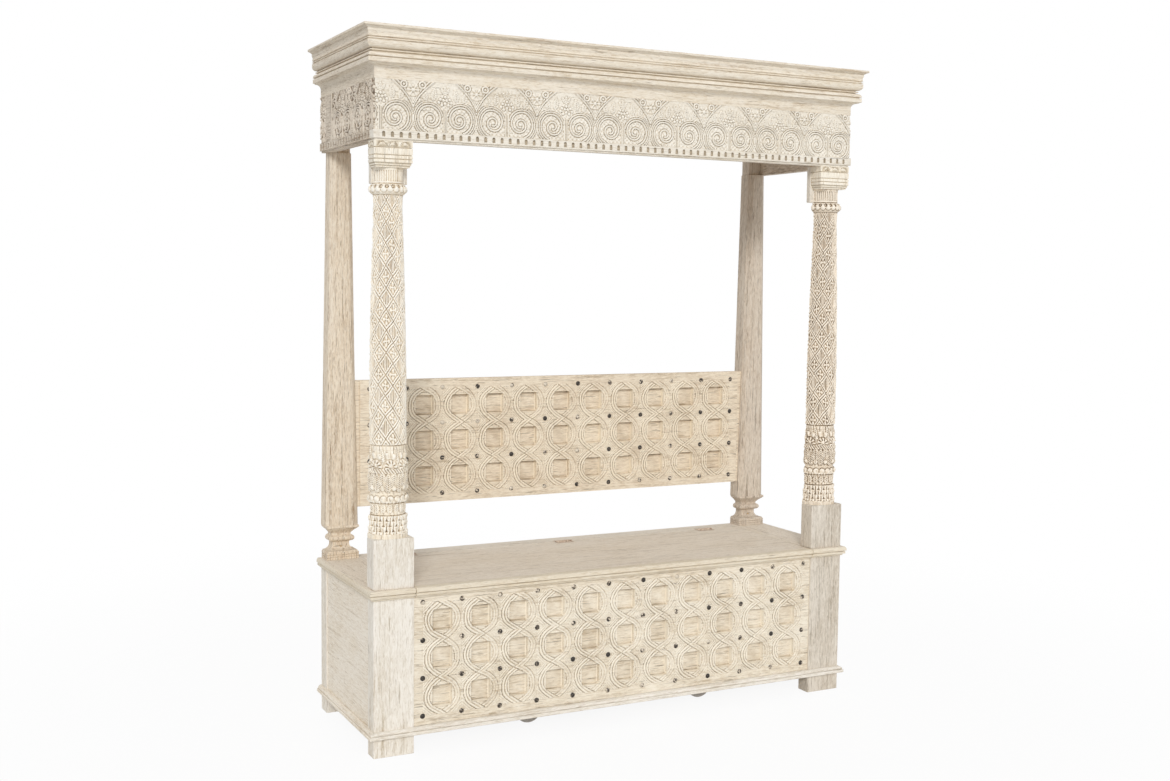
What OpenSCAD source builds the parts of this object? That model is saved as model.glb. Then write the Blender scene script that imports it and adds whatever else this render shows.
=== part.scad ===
// Canopied storage bench in limed mango wood.
// X runs across the bench, Y from the front to the back, Z is up.
// The origin lies on the floor, in the middle of the outer box.

/* [Chest] */
// Width over the corner posts
body_w = 1610; // [1400:10:1800]
// Depth from the face of the front posts to the flat back
body_d = 510; // [470:5:580]
// Height of the seat above the floor
seat_h = 480; // [465:5:520]
// Height of the open feet below the base moulding
foot_h = 56; // [45:1:75]
// Width of each corner post, and of the pedestal block above it
post_w = 120; // [116:1:135]
// Thickness of the front posts
front_post_t = 51; // [46:1:56]
// Thickness of the rear posts
rear_post_t = 55; // [48:1:60]
// Thickness of the carved panels
panel_t = 24; // [22:1:30]
// Thickness of the side panels and of the chest back
board_t = 20; // [17:1:24]
// How far the carved front panel lies behind the faces of its posts
panel_recess = 5; // [2:0.5:8]
// How far the side panels lie behind the faces of their posts
side_recess = 4; // [2:0.5:8]
// How far the chest back lies in front of the flat back
back_recess = 8; // [4:0.5:12]
// Thickness of the tongues on the edges of the panels
tongue_t = 10; // [6:0.5:12]
// Length of the tongues on the edges of the panels
tongue_l = 12; // [8:0.5:16]
// Thickness of the bottom boards
bottom_t = 16; // [12:1:20]
// Height of the bottom boards above the lower edge of the panels
bottom_rise = 14; // [10:1:25]
// Depth of the grooves that hold the bottom boards
bottom_groove = 6; // [4:0.5:7]
// Width of each bearer under the bottom boards
floor_bearer_w = 56; // [40:1:70]
// Depth of each bearer under the bottom boards
floor_bearer_h = 50; // [35:1:55]
// Rounding of the bearers' underside, from their edges to their middle
floor_bearer_sag = 10; // [6:1:20]
// Distance of the floor bearers' ends behind the front posts
floor_bearer_in = 5; // [3:1:40]
// Distance of each floor bearer from the middle of the bench
floor_bearer_x = 300; // [200:5:400]

/* [Base moulding] */
// Height of the base moulding
base_mould_h = 21; // [18:1:30]
// How far the base moulding stands out
base_mould_over = 15; // [12:0.5:20]

/* [Seat and lid] */
// Thickness of the seat boards
seat_t = 29; // [24:1:34]
// How far the moulded edge of the seat stands out
seat_over = 15; // [12:0.5:20]
// Depth of the fixed rail behind the lid seam, measured from the seam
rear_rail_d = 70; // [68:1:85]
// Width of the seam between the lid and the rear rail
seam_gap = 3; // [2:0.2:4]
// Gap between the lid and each seat end board
lid_side_gap = 2; // [1:0.2:4]
// Depth of the moulded strip on the front of the lid
nosing_d = 30; // [25:1:40]
// Number of battens under the lid
batten_count = 4; // [3:1:5]
// Width of a lid batten
batten_w = 50; // [35:1:70]
// Thickness of a lid batten
batten_t = 20; // [15:1:24]
// Distance of the lid battens from the front panel and from the rear bearer
batten_clear = 12; // [8:1:20]
// Width of the bearers under the ends of the lid
bearer_w = 70; // [55:1:85]
// How far those bearers reach under the lid
bearer_under_lid = 30; // [20:1:45]
// Width of the bearer under the back edge of the lid
rear_bearer_w = 60; // [50:1:75]
// Depth of the bearers under the lid
bearer_h = 40; // [30:1:55]

/* [Hinges] */
// Length of a hinge
hinge_l = 60; // [50:1:75]
// Distance of the outer hinges from the middle one
hinge_spread = 550; // [400:5:600]
// Width of a hinge leaf, from the pin to its edge
leaf_w = 24; // [20:0.5:30]
// Thickness of a hinge leaf
leaf_t = 2; // [1.5:0.1:2.5]
// Diameter of the hinge barrel
barrel_d = 8; // [7:0.2:10]
// Diameter of the hinge pin
pin_d = 3.2; // [2.4:0.1:4]
// Running clearance between the pin and its bore, on the radius
pin_play = 0.06; // [0.03:0.01:0.09]
// Gap between the knuckles, and between a leaf and its pocket
hinge_gap = 0.4; // [0.3:0.05:0.6]
// Number of knuckles
knuckle_count = 5; // [3:2:5]
// Diameter of a hinge screw
screw_d = 3.5; // [3:0.1:4]
// Diameter of the head of a hinge screw
screw_head_d = 7; // [6:0.1:8]
// Length of a hinge screw
screw_l = 16; // [12:0.5:20]

/* [Carved panels] */
// Number of square wells across a carved panel
well_columns = 11; // [9:1:11]
// Number of square wells up a carved panel
well_rows = 3; // [2:1:3]
// Width of a well
well_w = 60; // [50:1:68]
// Height of a well
well_h = 62; // [50:1:68]
// Depth of a well
well_depth = 15; // [8:0.5:16]
// Bevel at the corners of a well
well_corner = 4; // [2:0.5:12]
// Plain margin beyond the outer studs, at each end of the front panel
front_margin_x = 27.2; // [20:0.2:60]
// Plain margin beyond the outer studs, above and below on the front panel
front_margin_z = 22; // [14:0.5:26]
// Height of the middle row above the middle of the open front panel
front_grid_lift = 4; // [0:1:6]
// Plain margin beyond the outer studs, at each end of the back panel
back_margin_x = 39.4; // [30:0.2:70]
// Plain margin beyond the outer studs, above and below on the back panel
back_margin_z = 27.3; // [16:0.1:32]

/* [Iron studs] */
// Diameter of a stud's domed head
stud_d = 16; // [12:0.5:20]
// Height of a stud's domed head
stud_h = 5; // [3:0.5:6]
// Diameter of a stud's nail
nail_d = 3; // [2:0.2:4]
// Length of a stud's nail
nail_l = 16; // [10:1:19]

/* [Pedestals and front columns] */
// Depth of the pedestal blocks, and of the half-round columns on them
ped_d = 58; // [57.8:0.2:62]
// Height of the pedestal blocks
ped_h = 142; // [110:1:180]
// Distance of the front columns' axes from the side faces
column_in = 59.5; // [58.5:0.5:62]
// Radius of the half-round shaft low down, between its rings
shaft_r = 57.5; // [55:0.5:57.5]
// Radius of the half-round shaft above its rings
shaft_mid_r = 54.5; // [50:0.5:55]
// Radius of the half-round shaft at its narrowest, below the neck
shaft_top_r = 42; // [40:0.5:48]
// Height of the straight carved stretch, rings included, before the shaft tapers
straight_h = 450; // [320:5:600]
// Radius of the ring of beads below the neck
bead_ring_r = 56; // [50:0.5:57]
// Height of the ring of beads
bead_ring_h = 22; // [16:1:28]
// Height of the fluted neck above the beads
neck_h = 45; // [35:1:60]
// Radius of the fluted neck
neck_r = 43; // [41:0.5:52]
// Depth of the grooves between the column's rings
ring_groove = 4; // [2:0.5:6]
// Height of the square capital block
capital_h = 72; // [60:1:90]
// Width of the square capital block
capital_w = 111; // [104:1:118]
// How far the capital lies behind the faces of the posts
capital_inset = 5; // [3:0.5:6]
// Depth of the grooves round the capital
capital_groove = 2.5; // [1.5:0.5:4]
// Width of the small arches along the capital's upper edge
arch_w = 26; // [20:1:28]
// Spacing of the small arches
arch_pitch = 32; // [30:1:36]
// Thickness of the plain board behind the capital
backing_t = 18; // [16:1:24]
// Height of the plain board behind the capital
backing_h = 115; // [80:1:120]
// Width of the plain board behind the capital
backing_w = 106; // [100:1:130]
// Shift of that board toward the middle of the bench
backing_shift = 5; // [0:1:8]
// Diameter of the pegs that hold the stack together
peg_d = 20; // [14:1:22]
// Depth that a peg reaches into each piece
peg_l = 40; // [25:1:45]
// Clearance of a peg in its bore, on the radius
peg_play = 0.1; // [0.05:0.01:0.2]

/* [Rear columns] */
// Distance of the rear columns' axes from the side faces
rear_column_in = 52; // [50:0.5:60]
// Thickness of the rear columns
rear_column_t = 58; // [54:1:62]
// Width of a rear column just above its base
rear_low_w = 105; // [96:1:112]
// Width of a rear column at the bend in its sides
rear_mid_w = 84; // [76:1:92]
// Width of a rear column at its top
rear_top_w = 66; // [62:1:74]
// Height of the bend above the seat
rear_bend_h = 620; // [560:5:700]
// Bevel on the front corners of a rear column
rear_bevel = 15; // [10:0.5:18]
// Height of the moulded base of a rear column
rear_base_h = 105; // [100:1:120]
// Width of the plinth of a rear column
plinth_w = 102; // [96:1:108]
// How far the moulded base stands out in front of a rear column
plinth_out = 3; // [1:0.5:6]
// Height of the plinth of a rear column
plinth_h = 22; // [16:1:26]

/* [Back panel] */
// Height of the open gap below the back panel
back_gap_h = 158; // [130:1:180]
// Height of the back panel
back_panel_h = 393; // [370:1:410]
// Thickness of the back panel
back_panel_t = 22; // [20:1:26]
// Diameter of the dowels that hold the back panel
dowel_d = 10; // [8:0.5:12]
// Depth that a dowel reaches into each piece
dowel_l = 25; // [15:1:30]

/* [Canopy] */
// Height of the lower edge of the frieze
canopy_z = 1722; // [1600:2:1850]
// Height of the frieze boards
frieze_h = 183; // [160:1:210]
// Thickness of the frieze boards
frieze_t = 28; // [24:1:32]
// How far the frieze lies behind the faces of the posts
frieze_in = 6; // [6:0.5:9]
// Height of the toothed band above the lower edge of the frieze
band_rise = 5; // [3:0.5:10]
// Height of the toothed band
band_h = 23; // [18:1:28]
// How far the toothed band stands out
band_out = 5.5; // [3:0.5:5.5]
// Spacing of the slots in the toothed band
slot_pitch = 25; // [20:0.5:32]
// Width of a slot in the toothed band
slot_w = 9; // [6:0.5:14]
// Height of a slot in the toothed band
slot_h = 15; // [10:0.5:17]
// Height of the cornice
cornice_h = 122; // [110:1:150]
// How far the cornice stands out from the posts
cornice_over = 36; // [32:0.5:45]
// Depth of the cornice's lap over the frieze
cornice_lap = 18; // [10:1:24]
// Width of the blocks in the front corners of the canopy
corner_block_w = 60; // [45:1:80]
// Thickness of the canopy's back board
canopy_back_t = 22; // [18:1:26]
// Height of the canopy's back board below the top of the frieze
canopy_back_drop = 115; // [90:1:140]
// Thickness of the roof boards
roof_t = 16; // [12:1:20]
// Depth of the roof boards' upper face below the top of the cornice
roof_drop = 20; // [10:1:40]
// Number of roof boards
roof_board_count = 4; // [3:1:5]
// Width of the cleats that carry the roof
cleat_w = 25; // [20:1:35]
// Depth of the cleats that carry the roof
cleat_h = 25; // [20:1:35]

/* [Hidden] */
$fn = 48;

cream = "#ece3cf";
tan_wood = "#d8c3a0";
grey_beige = "#cbbfa9";
raw_wood = "#c9ad85";
iron = "#4a4540";

// Cuts reach this far past the faces that they cut through
eps = 1;

// Main planes of the chest
half_w = body_w / 2;
half_d = (body_d + cornice_over) / 2;
face_y = cornice_over - half_d;
back_y = half_d;
seat_z = seat_h - seat_t;
inner_x = half_w - post_w;
front_post_y = face_y + front_post_t;
rear_post_y = back_y - rear_post_t;
panel_y = face_y + panel_recess;
panel_back_y = panel_y + panel_t;
side_x = half_w - side_recess;
side_in_x = side_x - board_t;
chest_back_y = back_y - back_recess;
chest_back_in_y = chest_back_y - board_t;
bottom_z = foot_h + bottom_rise;
groove_play = 0.3;
board_gap = 0.4;

// Lid and hinges
seam_y = back_y - rear_rail_d;
lid_back_y = seam_y - seam_gap / 2;
rail_y = seam_y + seam_gap / 2;
lid_x = inner_x - lid_side_gap;
lid_panel_y = face_y - seat_over + nosing_d;
bearer_in_x = inner_x - bearer_under_lid;
rear_bearer_y = chest_back_in_y - rear_bearer_w;
batten_y0 = panel_back_y + batten_clear;
batten_y1 = rear_bearer_y - batten_clear;
batten_pitch = 2 * lid_x / batten_count;
hinge_xs = [-hinge_spread, 0, hinge_spread];
barrel_r = barrel_d / 2;
pocket_r = barrel_r + 1.5 * hinge_gap;
knuckle_pitch = hinge_l / knuckle_count;
screw_xs = [-hinge_l / 3, 0, hinge_l / 3];
screw_y = (pocket_r + leaf_w) / 2;

// Carved panels
front_open_h = seat_z - foot_h - base_mould_h;
front_grid_z = foot_h + base_mould_h + front_open_h / 2 + front_grid_lift;
front_pitch_x = 2 * (inner_x - front_margin_x) / well_columns;
front_pitch_z = (front_open_h - 2 * front_margin_z) / well_rows;
back_panel_z = seat_h + back_gap_h;
back_grid_z = back_panel_z + back_panel_h / 2;
back_pitch_z = (back_panel_h - 2 * back_margin_z) / well_rows;
back_panel_y = back_y - rear_column_t + rear_bevel;
back_end_low = half_w - rear_column_in - rear_half_w(back_panel_z);
back_end_top = half_w - rear_column_in - rear_half_w(back_panel_z + back_panel_h);
back_pitch_x = 2 * (back_end_low - back_margin_x) / well_columns;
dowel_zs = [back_panel_z + 0.2 * back_panel_h, back_panel_z + 0.8 * back_panel_h];

// Columns
ped_top = seat_h + ped_h;
stack_y = face_y + ped_d;
column_x = half_w - column_in;
column_h = canopy_z - capital_h - ped_top;
capital_z = canopy_z - capital_h;
peg_y = face_y + ped_d / 2;
cap_peg_y = (face_y + frieze_in + frieze_t + stack_y) / 2;
cap_peg_d = 0.8 * peg_d;
rear_x = half_w - rear_column_in;
rear_y = back_y - rear_column_t;
rear_peg_y = back_y - rear_column_t / 2;
canopy_shoulder = 3;

// Heights above the pedestal block of the grooves between the column's rings,
// and above the capital's lower edge of its own grooves
ring_hs = [91, 131, 184, 210];
capital_grooves = [22, 33, 53];

// Canopy
frieze_x = half_w - frieze_in;
frieze_in_x = frieze_x - frieze_t;
frieze_y = face_y + frieze_in;
frieze_in_y = frieze_y + frieze_t;
frieze_top = canopy_z + frieze_h;
top_z = frieze_top + cornice_h;
canopy_back_y = back_y - canopy_back_t;
roof_z = top_z - roof_drop - roof_t;
mitre_reach = cornice_over + frieze_in + frieze_t + 10;

// Points along an arc round c, from angle a0 to angle a1
function arc(c, r, a0, a1, steps = 8) =
    [for (i = [0:steps]) let (a = a0 + (a1 - a0) * i / steps) [c[0] + r * cos(a), c[1] + r * sin(a)]];

// Points along a quarter of an ellipse round c
function quarter(c, rx, ry, a0, steps = 8) =
    [for (i = [0:steps]) let (a = a0 + 90 * i / steps) [c[0] + rx * cos(a), c[1] + ry * sin(a)]];

// A box from one corner to the opposite one
module box(p, q) translate(p) cube([q[0] - p[0], q[1] - p[1], q[2] - p[2]]);

// An outline in Y and Z, drawn out along X
module along_x(x0, x1) translate([x0, 0, 0]) rotate([90, 0, 90]) linear_extrude(x1 - x0) children();

// An outline in X and Z, drawn out along Y
module along_y(y0, y1) translate([0, y1, 0]) rotate([90, 0, 0]) linear_extrude(y1 - y0) children();

// A piece of the left side, moved to the right
module to_right() mirror([1, 0, 0]) children();

// Upright bore or peg
module upright(x, y, z0, z1, d) translate([x, y, z0]) cylinder(d = d, h = z1 - z0);

// Corner posts, with the grooves that hold the panels' tongues
module front_post() color(cream)
difference() {
    box([-half_w, face_y, 0], [-inner_x, front_post_y, seat_z]);
    box([-inner_x - tongue_l - groove_play, panel_y + (panel_t - tongue_t) / 2 - groove_play, foot_h],
        [-inner_x + eps, panel_y + (panel_t + tongue_t) / 2 + groove_play, seat_z + eps]);
    box([-side_x + (board_t - tongue_t) / 2 - groove_play, front_post_y - tongue_l - groove_play, foot_h],
        [-side_x + (board_t + tongue_t) / 2 + groove_play, front_post_y + eps, seat_z + eps]);
    upright(-column_x, peg_y, seat_z - peg_l, seat_z + eps, peg_d + 2 * peg_play);
}

module rear_post() color(cream)
difference() {
    box([-half_w, rear_post_y, 0], [-inner_x, back_y, seat_z]);
    box([-inner_x - tongue_l - groove_play, chest_back_y - (board_t + tongue_t) / 2 - groove_play, foot_h],
        [-inner_x + eps, chest_back_y - (board_t - tongue_t) / 2 + groove_play, seat_z + eps]);
    box([-side_x + (board_t - tongue_t) / 2 - groove_play, rear_post_y - eps, foot_h],
        [-side_x + (board_t + tongue_t) / 2 + groove_play, rear_post_y + tongue_l + groove_play, seat_z + eps]);
    upright(-rear_x, rear_peg_y, seat_z - peg_l, seat_z + eps, peg_d + 2 * peg_play);
}

module corner_post_front_left() front_post();
module corner_post_front_right() to_right() front_post();
module corner_post_rear_left() rear_post();
module corner_post_rear_right() to_right() rear_post();

// Side panel between the posts, grooved inside for the bottom boards
module side_panel() color(cream)
difference() {
    union() {
        box([-side_x, front_post_y, foot_h], [-side_in_x, rear_post_y, seat_z]);
        box([-side_x + (board_t - tongue_t) / 2, front_post_y - tongue_l, foot_h],
            [-side_x + (board_t + tongue_t) / 2, rear_post_y + tongue_l, seat_z]);
    }
    box([-side_in_x - bottom_groove, front_post_y - eps, bottom_z],
        [-side_in_x + eps, rear_post_y + eps, bottom_z + bottom_t]);
}

module side_panel_left() side_panel();
module side_panel_right() to_right() side_panel();

// Outline of one carved well
module well_outline() {
    a = well_w / 2;
    b = well_h / 2;
    c = well_corner;
    polygon([[-a + c, -b], [a - c, -b], [a, -b + c], [a, b - c],
             [a - c, b], [-a + c, b], [-a, b - c], [-a, -b + c]]);
}

// Grid of wells and nail bores, sunk from the face at y
module carved_grid(y, z, pitch_x, pitch_z) {
    along_y(y - eps, y + well_depth)
    for (i = [0:well_columns - 1], j = [0:well_rows - 1])
        translate([(i - (well_columns - 1) / 2) * pitch_x, z + (j - (well_rows - 1) / 2) * pitch_z])
        well_outline();
    along_y(y - eps, y + nail_l + eps)
    at_studs(z, pitch_x, pitch_z)
        circle(d = nail_d + 2 * peg_play, $fn = 16);
}

// Places of the studs, one at each corner of every well's square
module at_studs(z, pitch_x, pitch_z)
for (i = [0:well_columns], j = [0:well_rows])
    translate([(i - well_columns / 2) * pitch_x, z + (j - well_rows / 2) * pitch_z])
    children();

// Domed iron stud with its nail, pointing along -Z
module stud() {
    dome_r = (pow(stud_d / 2, 2) + pow(stud_h, 2)) / (2 * stud_h);
    upright(0, 0, -nail_l, eps, nail_d, $fn = 16);
    intersection() {
        translate([0, 0, stud_h - dome_r]) sphere(r = dome_r, $fn = 32);
        upright(0, 0, 0, stud_h + eps, 1.5 * stud_d, $fn = 24);
    }
}

module panel_studs(y, z, pitch_x, pitch_z) color(iron)
for (i = [0:well_columns], j = [0:well_rows])
    translate([(i - well_columns / 2) * pitch_x, y, z + (j - well_rows / 2) * pitch_z])
    rotate([90, 0, 0])
    stud();

module front_panel() color(cream)
difference() {
    union() {
        box([-inner_x, panel_y, foot_h], [inner_x, panel_back_y, seat_z]);
        box([-inner_x - tongue_l, panel_y + (panel_t - tongue_t) / 2, foot_h],
            [inner_x + tongue_l, panel_y + (panel_t + tongue_t) / 2, seat_z]);
    }
    carved_grid(panel_y, front_grid_z, front_pitch_x, front_pitch_z);
    box([-inner_x, panel_back_y - bottom_groove, bottom_z],
        [inner_x, panel_back_y + eps, bottom_z + bottom_t]);
}

module front_panel_studs() panel_studs(panel_y, front_grid_z, front_pitch_x, front_pitch_z);

module chest_back() color(raw_wood)
difference() {
    union() {
        box([-inner_x, chest_back_in_y, foot_h], [inner_x, chest_back_y, seat_z]);
        box([-inner_x - tongue_l, chest_back_in_y + (board_t - tongue_t) / 2, foot_h],
            [inner_x + tongue_l, chest_back_in_y + (board_t + tongue_t) / 2, seat_z]);
    }
    box([-inner_x, chest_back_in_y - eps, bottom_z],
        [inner_x, chest_back_in_y + bottom_groove, bottom_z + bottom_t]);
}

// Bottom boards: long ones between the side panels, short ones between the posts
module bottom_boards() color(raw_wood) {
    middle_d = (rear_post_y - front_post_y) / 3;
    for (i = [0:2])
        box([-side_in_x - bottom_groove, front_post_y + i * middle_d, bottom_z],
            [side_in_x + bottom_groove, front_post_y + (i + 1) * middle_d - board_gap, bottom_z + bottom_t]);
    box([-inner_x, panel_back_y - bottom_groove, bottom_z],
        [inner_x, front_post_y - board_gap, bottom_z + bottom_t]);
    box([-inner_x, rear_post_y, bottom_z],
        [inner_x, chest_back_in_y + bottom_groove, bottom_z + bottom_t]);
}

// Bearer under the bottom boards, rounded below, where its front end shows
module floor_bearer() color(raw_wood) {
    half = floor_bearer_w / 2;
    r = (half * half + floor_bearer_sag * floor_bearer_sag) / (2 * floor_bearer_sag);
    swing = asin(half / r);
    along_y(front_post_y + floor_bearer_in, rear_post_y)
    translate([-floor_bearer_x, bottom_z])
    polygon(concat(arc([0, r - floor_bearer_h], r, 270 - swing, 270 + swing), [[half, 0], [-half, 0]]));
}

module floor_bearer_left() floor_bearer();
module floor_bearer_right() to_right() floor_bearer();

// Base moulding outline: X is the distance out from the posts' faces
module base_mould_outline() {
    lip = 0.5 * base_mould_h;
    over = base_mould_over;
    quirk = 5;
    polygon(concat([[0, 0]], arc([over - 3, 3], 3, -90, 0, 4),
                   [[over, lip - 1.5], [over - 1.5, lip], [over - quirk - 1, lip], [over - quirk - 1, lip + 1.5]],
                   quarter([0, lip + 1.5], over - 3, base_mould_h - lip - 1.5, 0)));
}

// Plan of the mitred front piece and of the left one, for the mouldings that wrap the corners
module front_plan() polygon([[-half_w - mitre_reach, face_y - mitre_reach],
                             [half_w + mitre_reach, face_y - mitre_reach],
                             [half_w - mitre_reach, face_y + mitre_reach],
                             [-half_w + mitre_reach, face_y + mitre_reach]]);

module left_plan() polygon([[-half_w - mitre_reach, face_y - mitre_reach],
                            [-half_w + mitre_reach, face_y + mitre_reach],
                            [-half_w + mitre_reach, back_y],
                            [-half_w - mitre_reach, back_y]]);

// A moulding outline run along the front, its X pointing forward
module front_run(z, h) intersection() {
    along_x(-half_w - mitre_reach, half_w + mitre_reach)
        translate([face_y, z]) mirror([1, 0]) children();
    translate([0, 0, z - mitre_reach]) linear_extrude(h + 2 * mitre_reach) front_plan();
}

// A moulding outline run along the left side, its X pointing left
module left_run(z, h) intersection() {
    along_y(face_y - mitre_reach, back_y)
        translate([-half_w, z]) mirror([1, 0]) children();
    translate([0, 0, z - mitre_reach]) linear_extrude(h + 2 * mitre_reach) left_plan();
}

module base_moulding_front() color(cream) {
    front_run(foot_h, base_mould_h) base_mould_outline();
    box([-inner_x, face_y - eps, foot_h], [inner_x, panel_y, foot_h + base_mould_h]);
}

module base_side() color(cream) {
    left_run(foot_h, base_mould_h) base_mould_outline();
    box([-half_w - eps, front_post_y, foot_h], [-side_x, rear_post_y, foot_h + base_mould_h]);
}

module base_moulding_left() base_side();
module base_moulding_right() to_right() base_side();

// Bearers that carry the ends and the back edge of the lid
module lid_bearer() color(raw_wood)
box([-bearer_in_x - bearer_w, front_post_y, seat_z - bearer_h], [-bearer_in_x, rear_post_y, seat_z]);

module lid_bearer_left() lid_bearer();
module lid_bearer_right() to_right() lid_bearer();

module lid_bearer_rear() color(raw_wood)
box([-bearer_in_x, rear_bearer_y, seat_z - bearer_h], [bearer_in_x, chest_back_in_y, seat_z]);

// Seat edge outline from the board's inner edge at depth d behind the posts' faces:
// a rounded upper edge, a quirk, a narrow lower band and a fillet set well back
module seat_edge_outline(d) {
    over = seat_over;
    quirk = seat_t / 2;
    nose = seat_t - quirk - 2;
    polygon(concat([[-d, 0], [over - 10, 0], [over - 10, 5], [over - 4, 5.5], [over - 3, 6.5],
                    [over - 3, quirk - 2], [over - 4, quirk - 1], [over - 7, quirk - 1], [over - 7, quirk + 1],
                    [over - 1, quirk + 1]],
                   quarter([over - nose / 2, seat_t - nose], nose / 2, nose, 0),
                   [[-d, seat_t]]));
}

// Seat end board, moulded at the front and at the side
module seat_end() color(cream)
difference() {
    intersection() {
        along_y(face_y - seat_over, back_y)
            translate([-half_w, seat_z]) mirror([1, 0]) seat_edge_outline(post_w);
        along_x(-half_w - seat_over, -inner_x)
            translate([face_y, seat_z]) mirror([1, 0]) seat_edge_outline(body_d);
    }
    upright(-column_x, peg_y, seat_z - eps, seat_h + eps, peg_d + 2 * peg_play);
    upright(-rear_x, rear_peg_y, seat_z - eps, seat_h + eps, peg_d + 2 * peg_play);
}

module seat_end_left() seat_end();
module seat_end_right() to_right() seat_end();

// Pockets for the hinges, cut in the board on the side of the seam that side names
module hinge_pockets(side)
for (x = hinge_xs)
    translate([x, seam_y, seat_h]) mirror([0, side < 0 ? 1 : 0]) {
        box([-hinge_l / 2 - hinge_gap, -eps, -leaf_t], [hinge_l / 2 + hinge_gap, leaf_w + hinge_gap, eps]);
        box([-hinge_l / 2 - hinge_gap, -eps, -pocket_r], [hinge_l / 2 + hinge_gap, pocket_r, eps]);
        for (sx = screw_xs)
            translate([sx, screw_y, -screw_l - eps])
            cylinder(d = screw_d + 2 * peg_play, h = screw_l + 2 * eps, $fn = 24);
    }

module seat_rear_rail() color(grey_beige)
difference() {
    box([-inner_x, rail_y, seat_z], [inner_x, back_y, seat_h]);
    hinge_pockets(1);
}

// Lid: one glued panel, a moulded front strip and battens
module lid_panel() color(grey_beige)
difference() {
    box([-lid_x, lid_panel_y, seat_z], [lid_x, lid_back_y, seat_h]);
    hinge_pockets(-1);
}

module lid_nosing() color(cream)
along_x(-lid_x, lid_x)
    translate([face_y, seat_z]) mirror([1, 0]) seat_edge_outline(nosing_d - seat_over);

module lid_battens() color(raw_wood)
for (i = [0:batten_count - 1])
    translate([-lid_x + (i + 0.5) * batten_pitch, 0, 0])
    box([-batten_w / 2, batten_y0, seat_z - batten_t], [batten_w / 2, batten_y1, seat_z]);

// Hinge leaf with its share of the knuckles: the even ones if first is 0, the odd ones if it is 1
module hinge_leaf(first) difference() {
    union() {
        box([-hinge_l / 2, pocket_r, -leaf_t], [hinge_l / 2, leaf_w, 0]);
        for (k = [first:2:knuckle_count - 1])
            translate([-hinge_l / 2 + k * knuckle_pitch + hinge_gap / 2, 0, 0]) {
                box([0, 0, -leaf_t], [knuckle_pitch - hinge_gap, pocket_r + eps, 0]);
                rotate([0, 90, 0]) cylinder(r = barrel_r, h = knuckle_pitch - hinge_gap, $fn = 32);
            }
    }
    translate([-hinge_l / 2 - eps, 0, 0])
        rotate([0, 90, 0]) cylinder(d = pin_d + 2 * pin_play, h = hinge_l + 2 * eps, $fn = 32);
    for (sx = screw_xs)
        translate([sx, screw_y, -leaf_t]) {
            translate([0, 0, -eps]) cylinder(d = screw_d + 2 * peg_play, h = leaf_t + 2 * eps, $fn = 24);
            cylinder(d1 = screw_d + 2 * peg_play, d2 = screw_head_d + 2 * peg_play, h = leaf_t + 0.01, $fn = 24);
        }
}

module hinge_rail_leaves() color(iron)
for (x = hinge_xs) translate([x, seam_y, seat_h]) hinge_leaf(0);

module hinge_lid_leaves() color(iron)
for (x = hinge_xs) translate([x, seam_y, seat_h]) mirror([0, 1, 0]) hinge_leaf(1);

module hinge_pins() color(iron)
for (x = hinge_xs)
    translate([x - hinge_l / 2, seam_y, seat_h])
    rotate([0, 90, 0]) cylinder(d = pin_d, h = hinge_l, $fn = 32);

// Countersunk screw, its head's top at the origin, pointing along -Z
module hinge_screw() rotate_extrude($fn = 24)
polygon([[0, -screw_l], [screw_d / 2, -screw_l + screw_d], [screw_d / 2, -leaf_t + 0.1],
         [screw_head_d / 2, -0.05], [0, -0.05]]);

module screws(side) color(iron)
for (x = hinge_xs, sx = screw_xs)
    translate([x + sx, seam_y + side * screw_y, seat_h]) hinge_screw();

module hinge_rail_screws() screws(1);
module hinge_lid_screws() screws(-1);

module pedestal_block() color(cream)
difference() {
    box([-half_w, face_y, seat_h], [-inner_x, stack_y, ped_top]);
    upright(-column_x, peg_y, seat_h - eps, seat_h + peg_l, peg_d + 2 * peg_play);
    upright(-column_x, peg_y, ped_top - peg_l, ped_top + eps, peg_d + 2 * peg_play);
}

module pedestal_block_left() pedestal_block();
module pedestal_block_right() to_right() pedestal_block();

// Outline of the front column: radius and height above the pedestal block
module column_outline() {
    neck_z = column_h - neck_h;
    bead_z = neck_z - bead_ring_h;
    low_r = shaft_r - 1.5;
    taper_z = bead_z - 35;
    rings = [for (h = ring_hs) each [[shaft_r, h - 7], [shaft_r - ring_groove, h - 3],
                                     [shaft_r - ring_groove, h + 3], [shaft_r, h + 7]]];
    polygon(concat([[0, 0], [low_r, 0], [low_r, 20], [shaft_r, 34]], rings,
                   [[shaft_mid_r, ring_hs[3] + 15], [shaft_mid_r, straight_h],
                    [shaft_mid_r - 0.35 * (shaft_mid_r - shaft_top_r), (straight_h + taper_z) / 2],
                    [shaft_top_r, taper_z], [shaft_top_r + 1, bead_z - 10],
                    [bead_ring_r - 2, bead_z - 4]],
                   arc([bead_ring_r - bead_ring_h / 2, bead_z + bead_ring_h / 2],
                       bead_ring_h / 2, -60, 60),
                   [[neck_r, neck_z + 3], [neck_r - 1, neck_z + 0.5 * neck_h],
                    [neck_r + 1, column_h], [0, column_h]]));
}

// Front column: half round, flat at the back
module column_front() color(cream)
difference() {
    translate([-column_x, stack_y, ped_top])
        rotate([0, 0, 180]) rotate_extrude(angle = 180, $fn = 96) column_outline();
    upright(-column_x, peg_y, ped_top - eps, ped_top + peg_l, peg_d + 2 * peg_play);
    upright(-column_x, peg_y, capital_z - peg_l, capital_z + eps, peg_d + 2 * peg_play);
}

module column_front_left() column_front();
module column_front_right() to_right() column_front();

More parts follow.
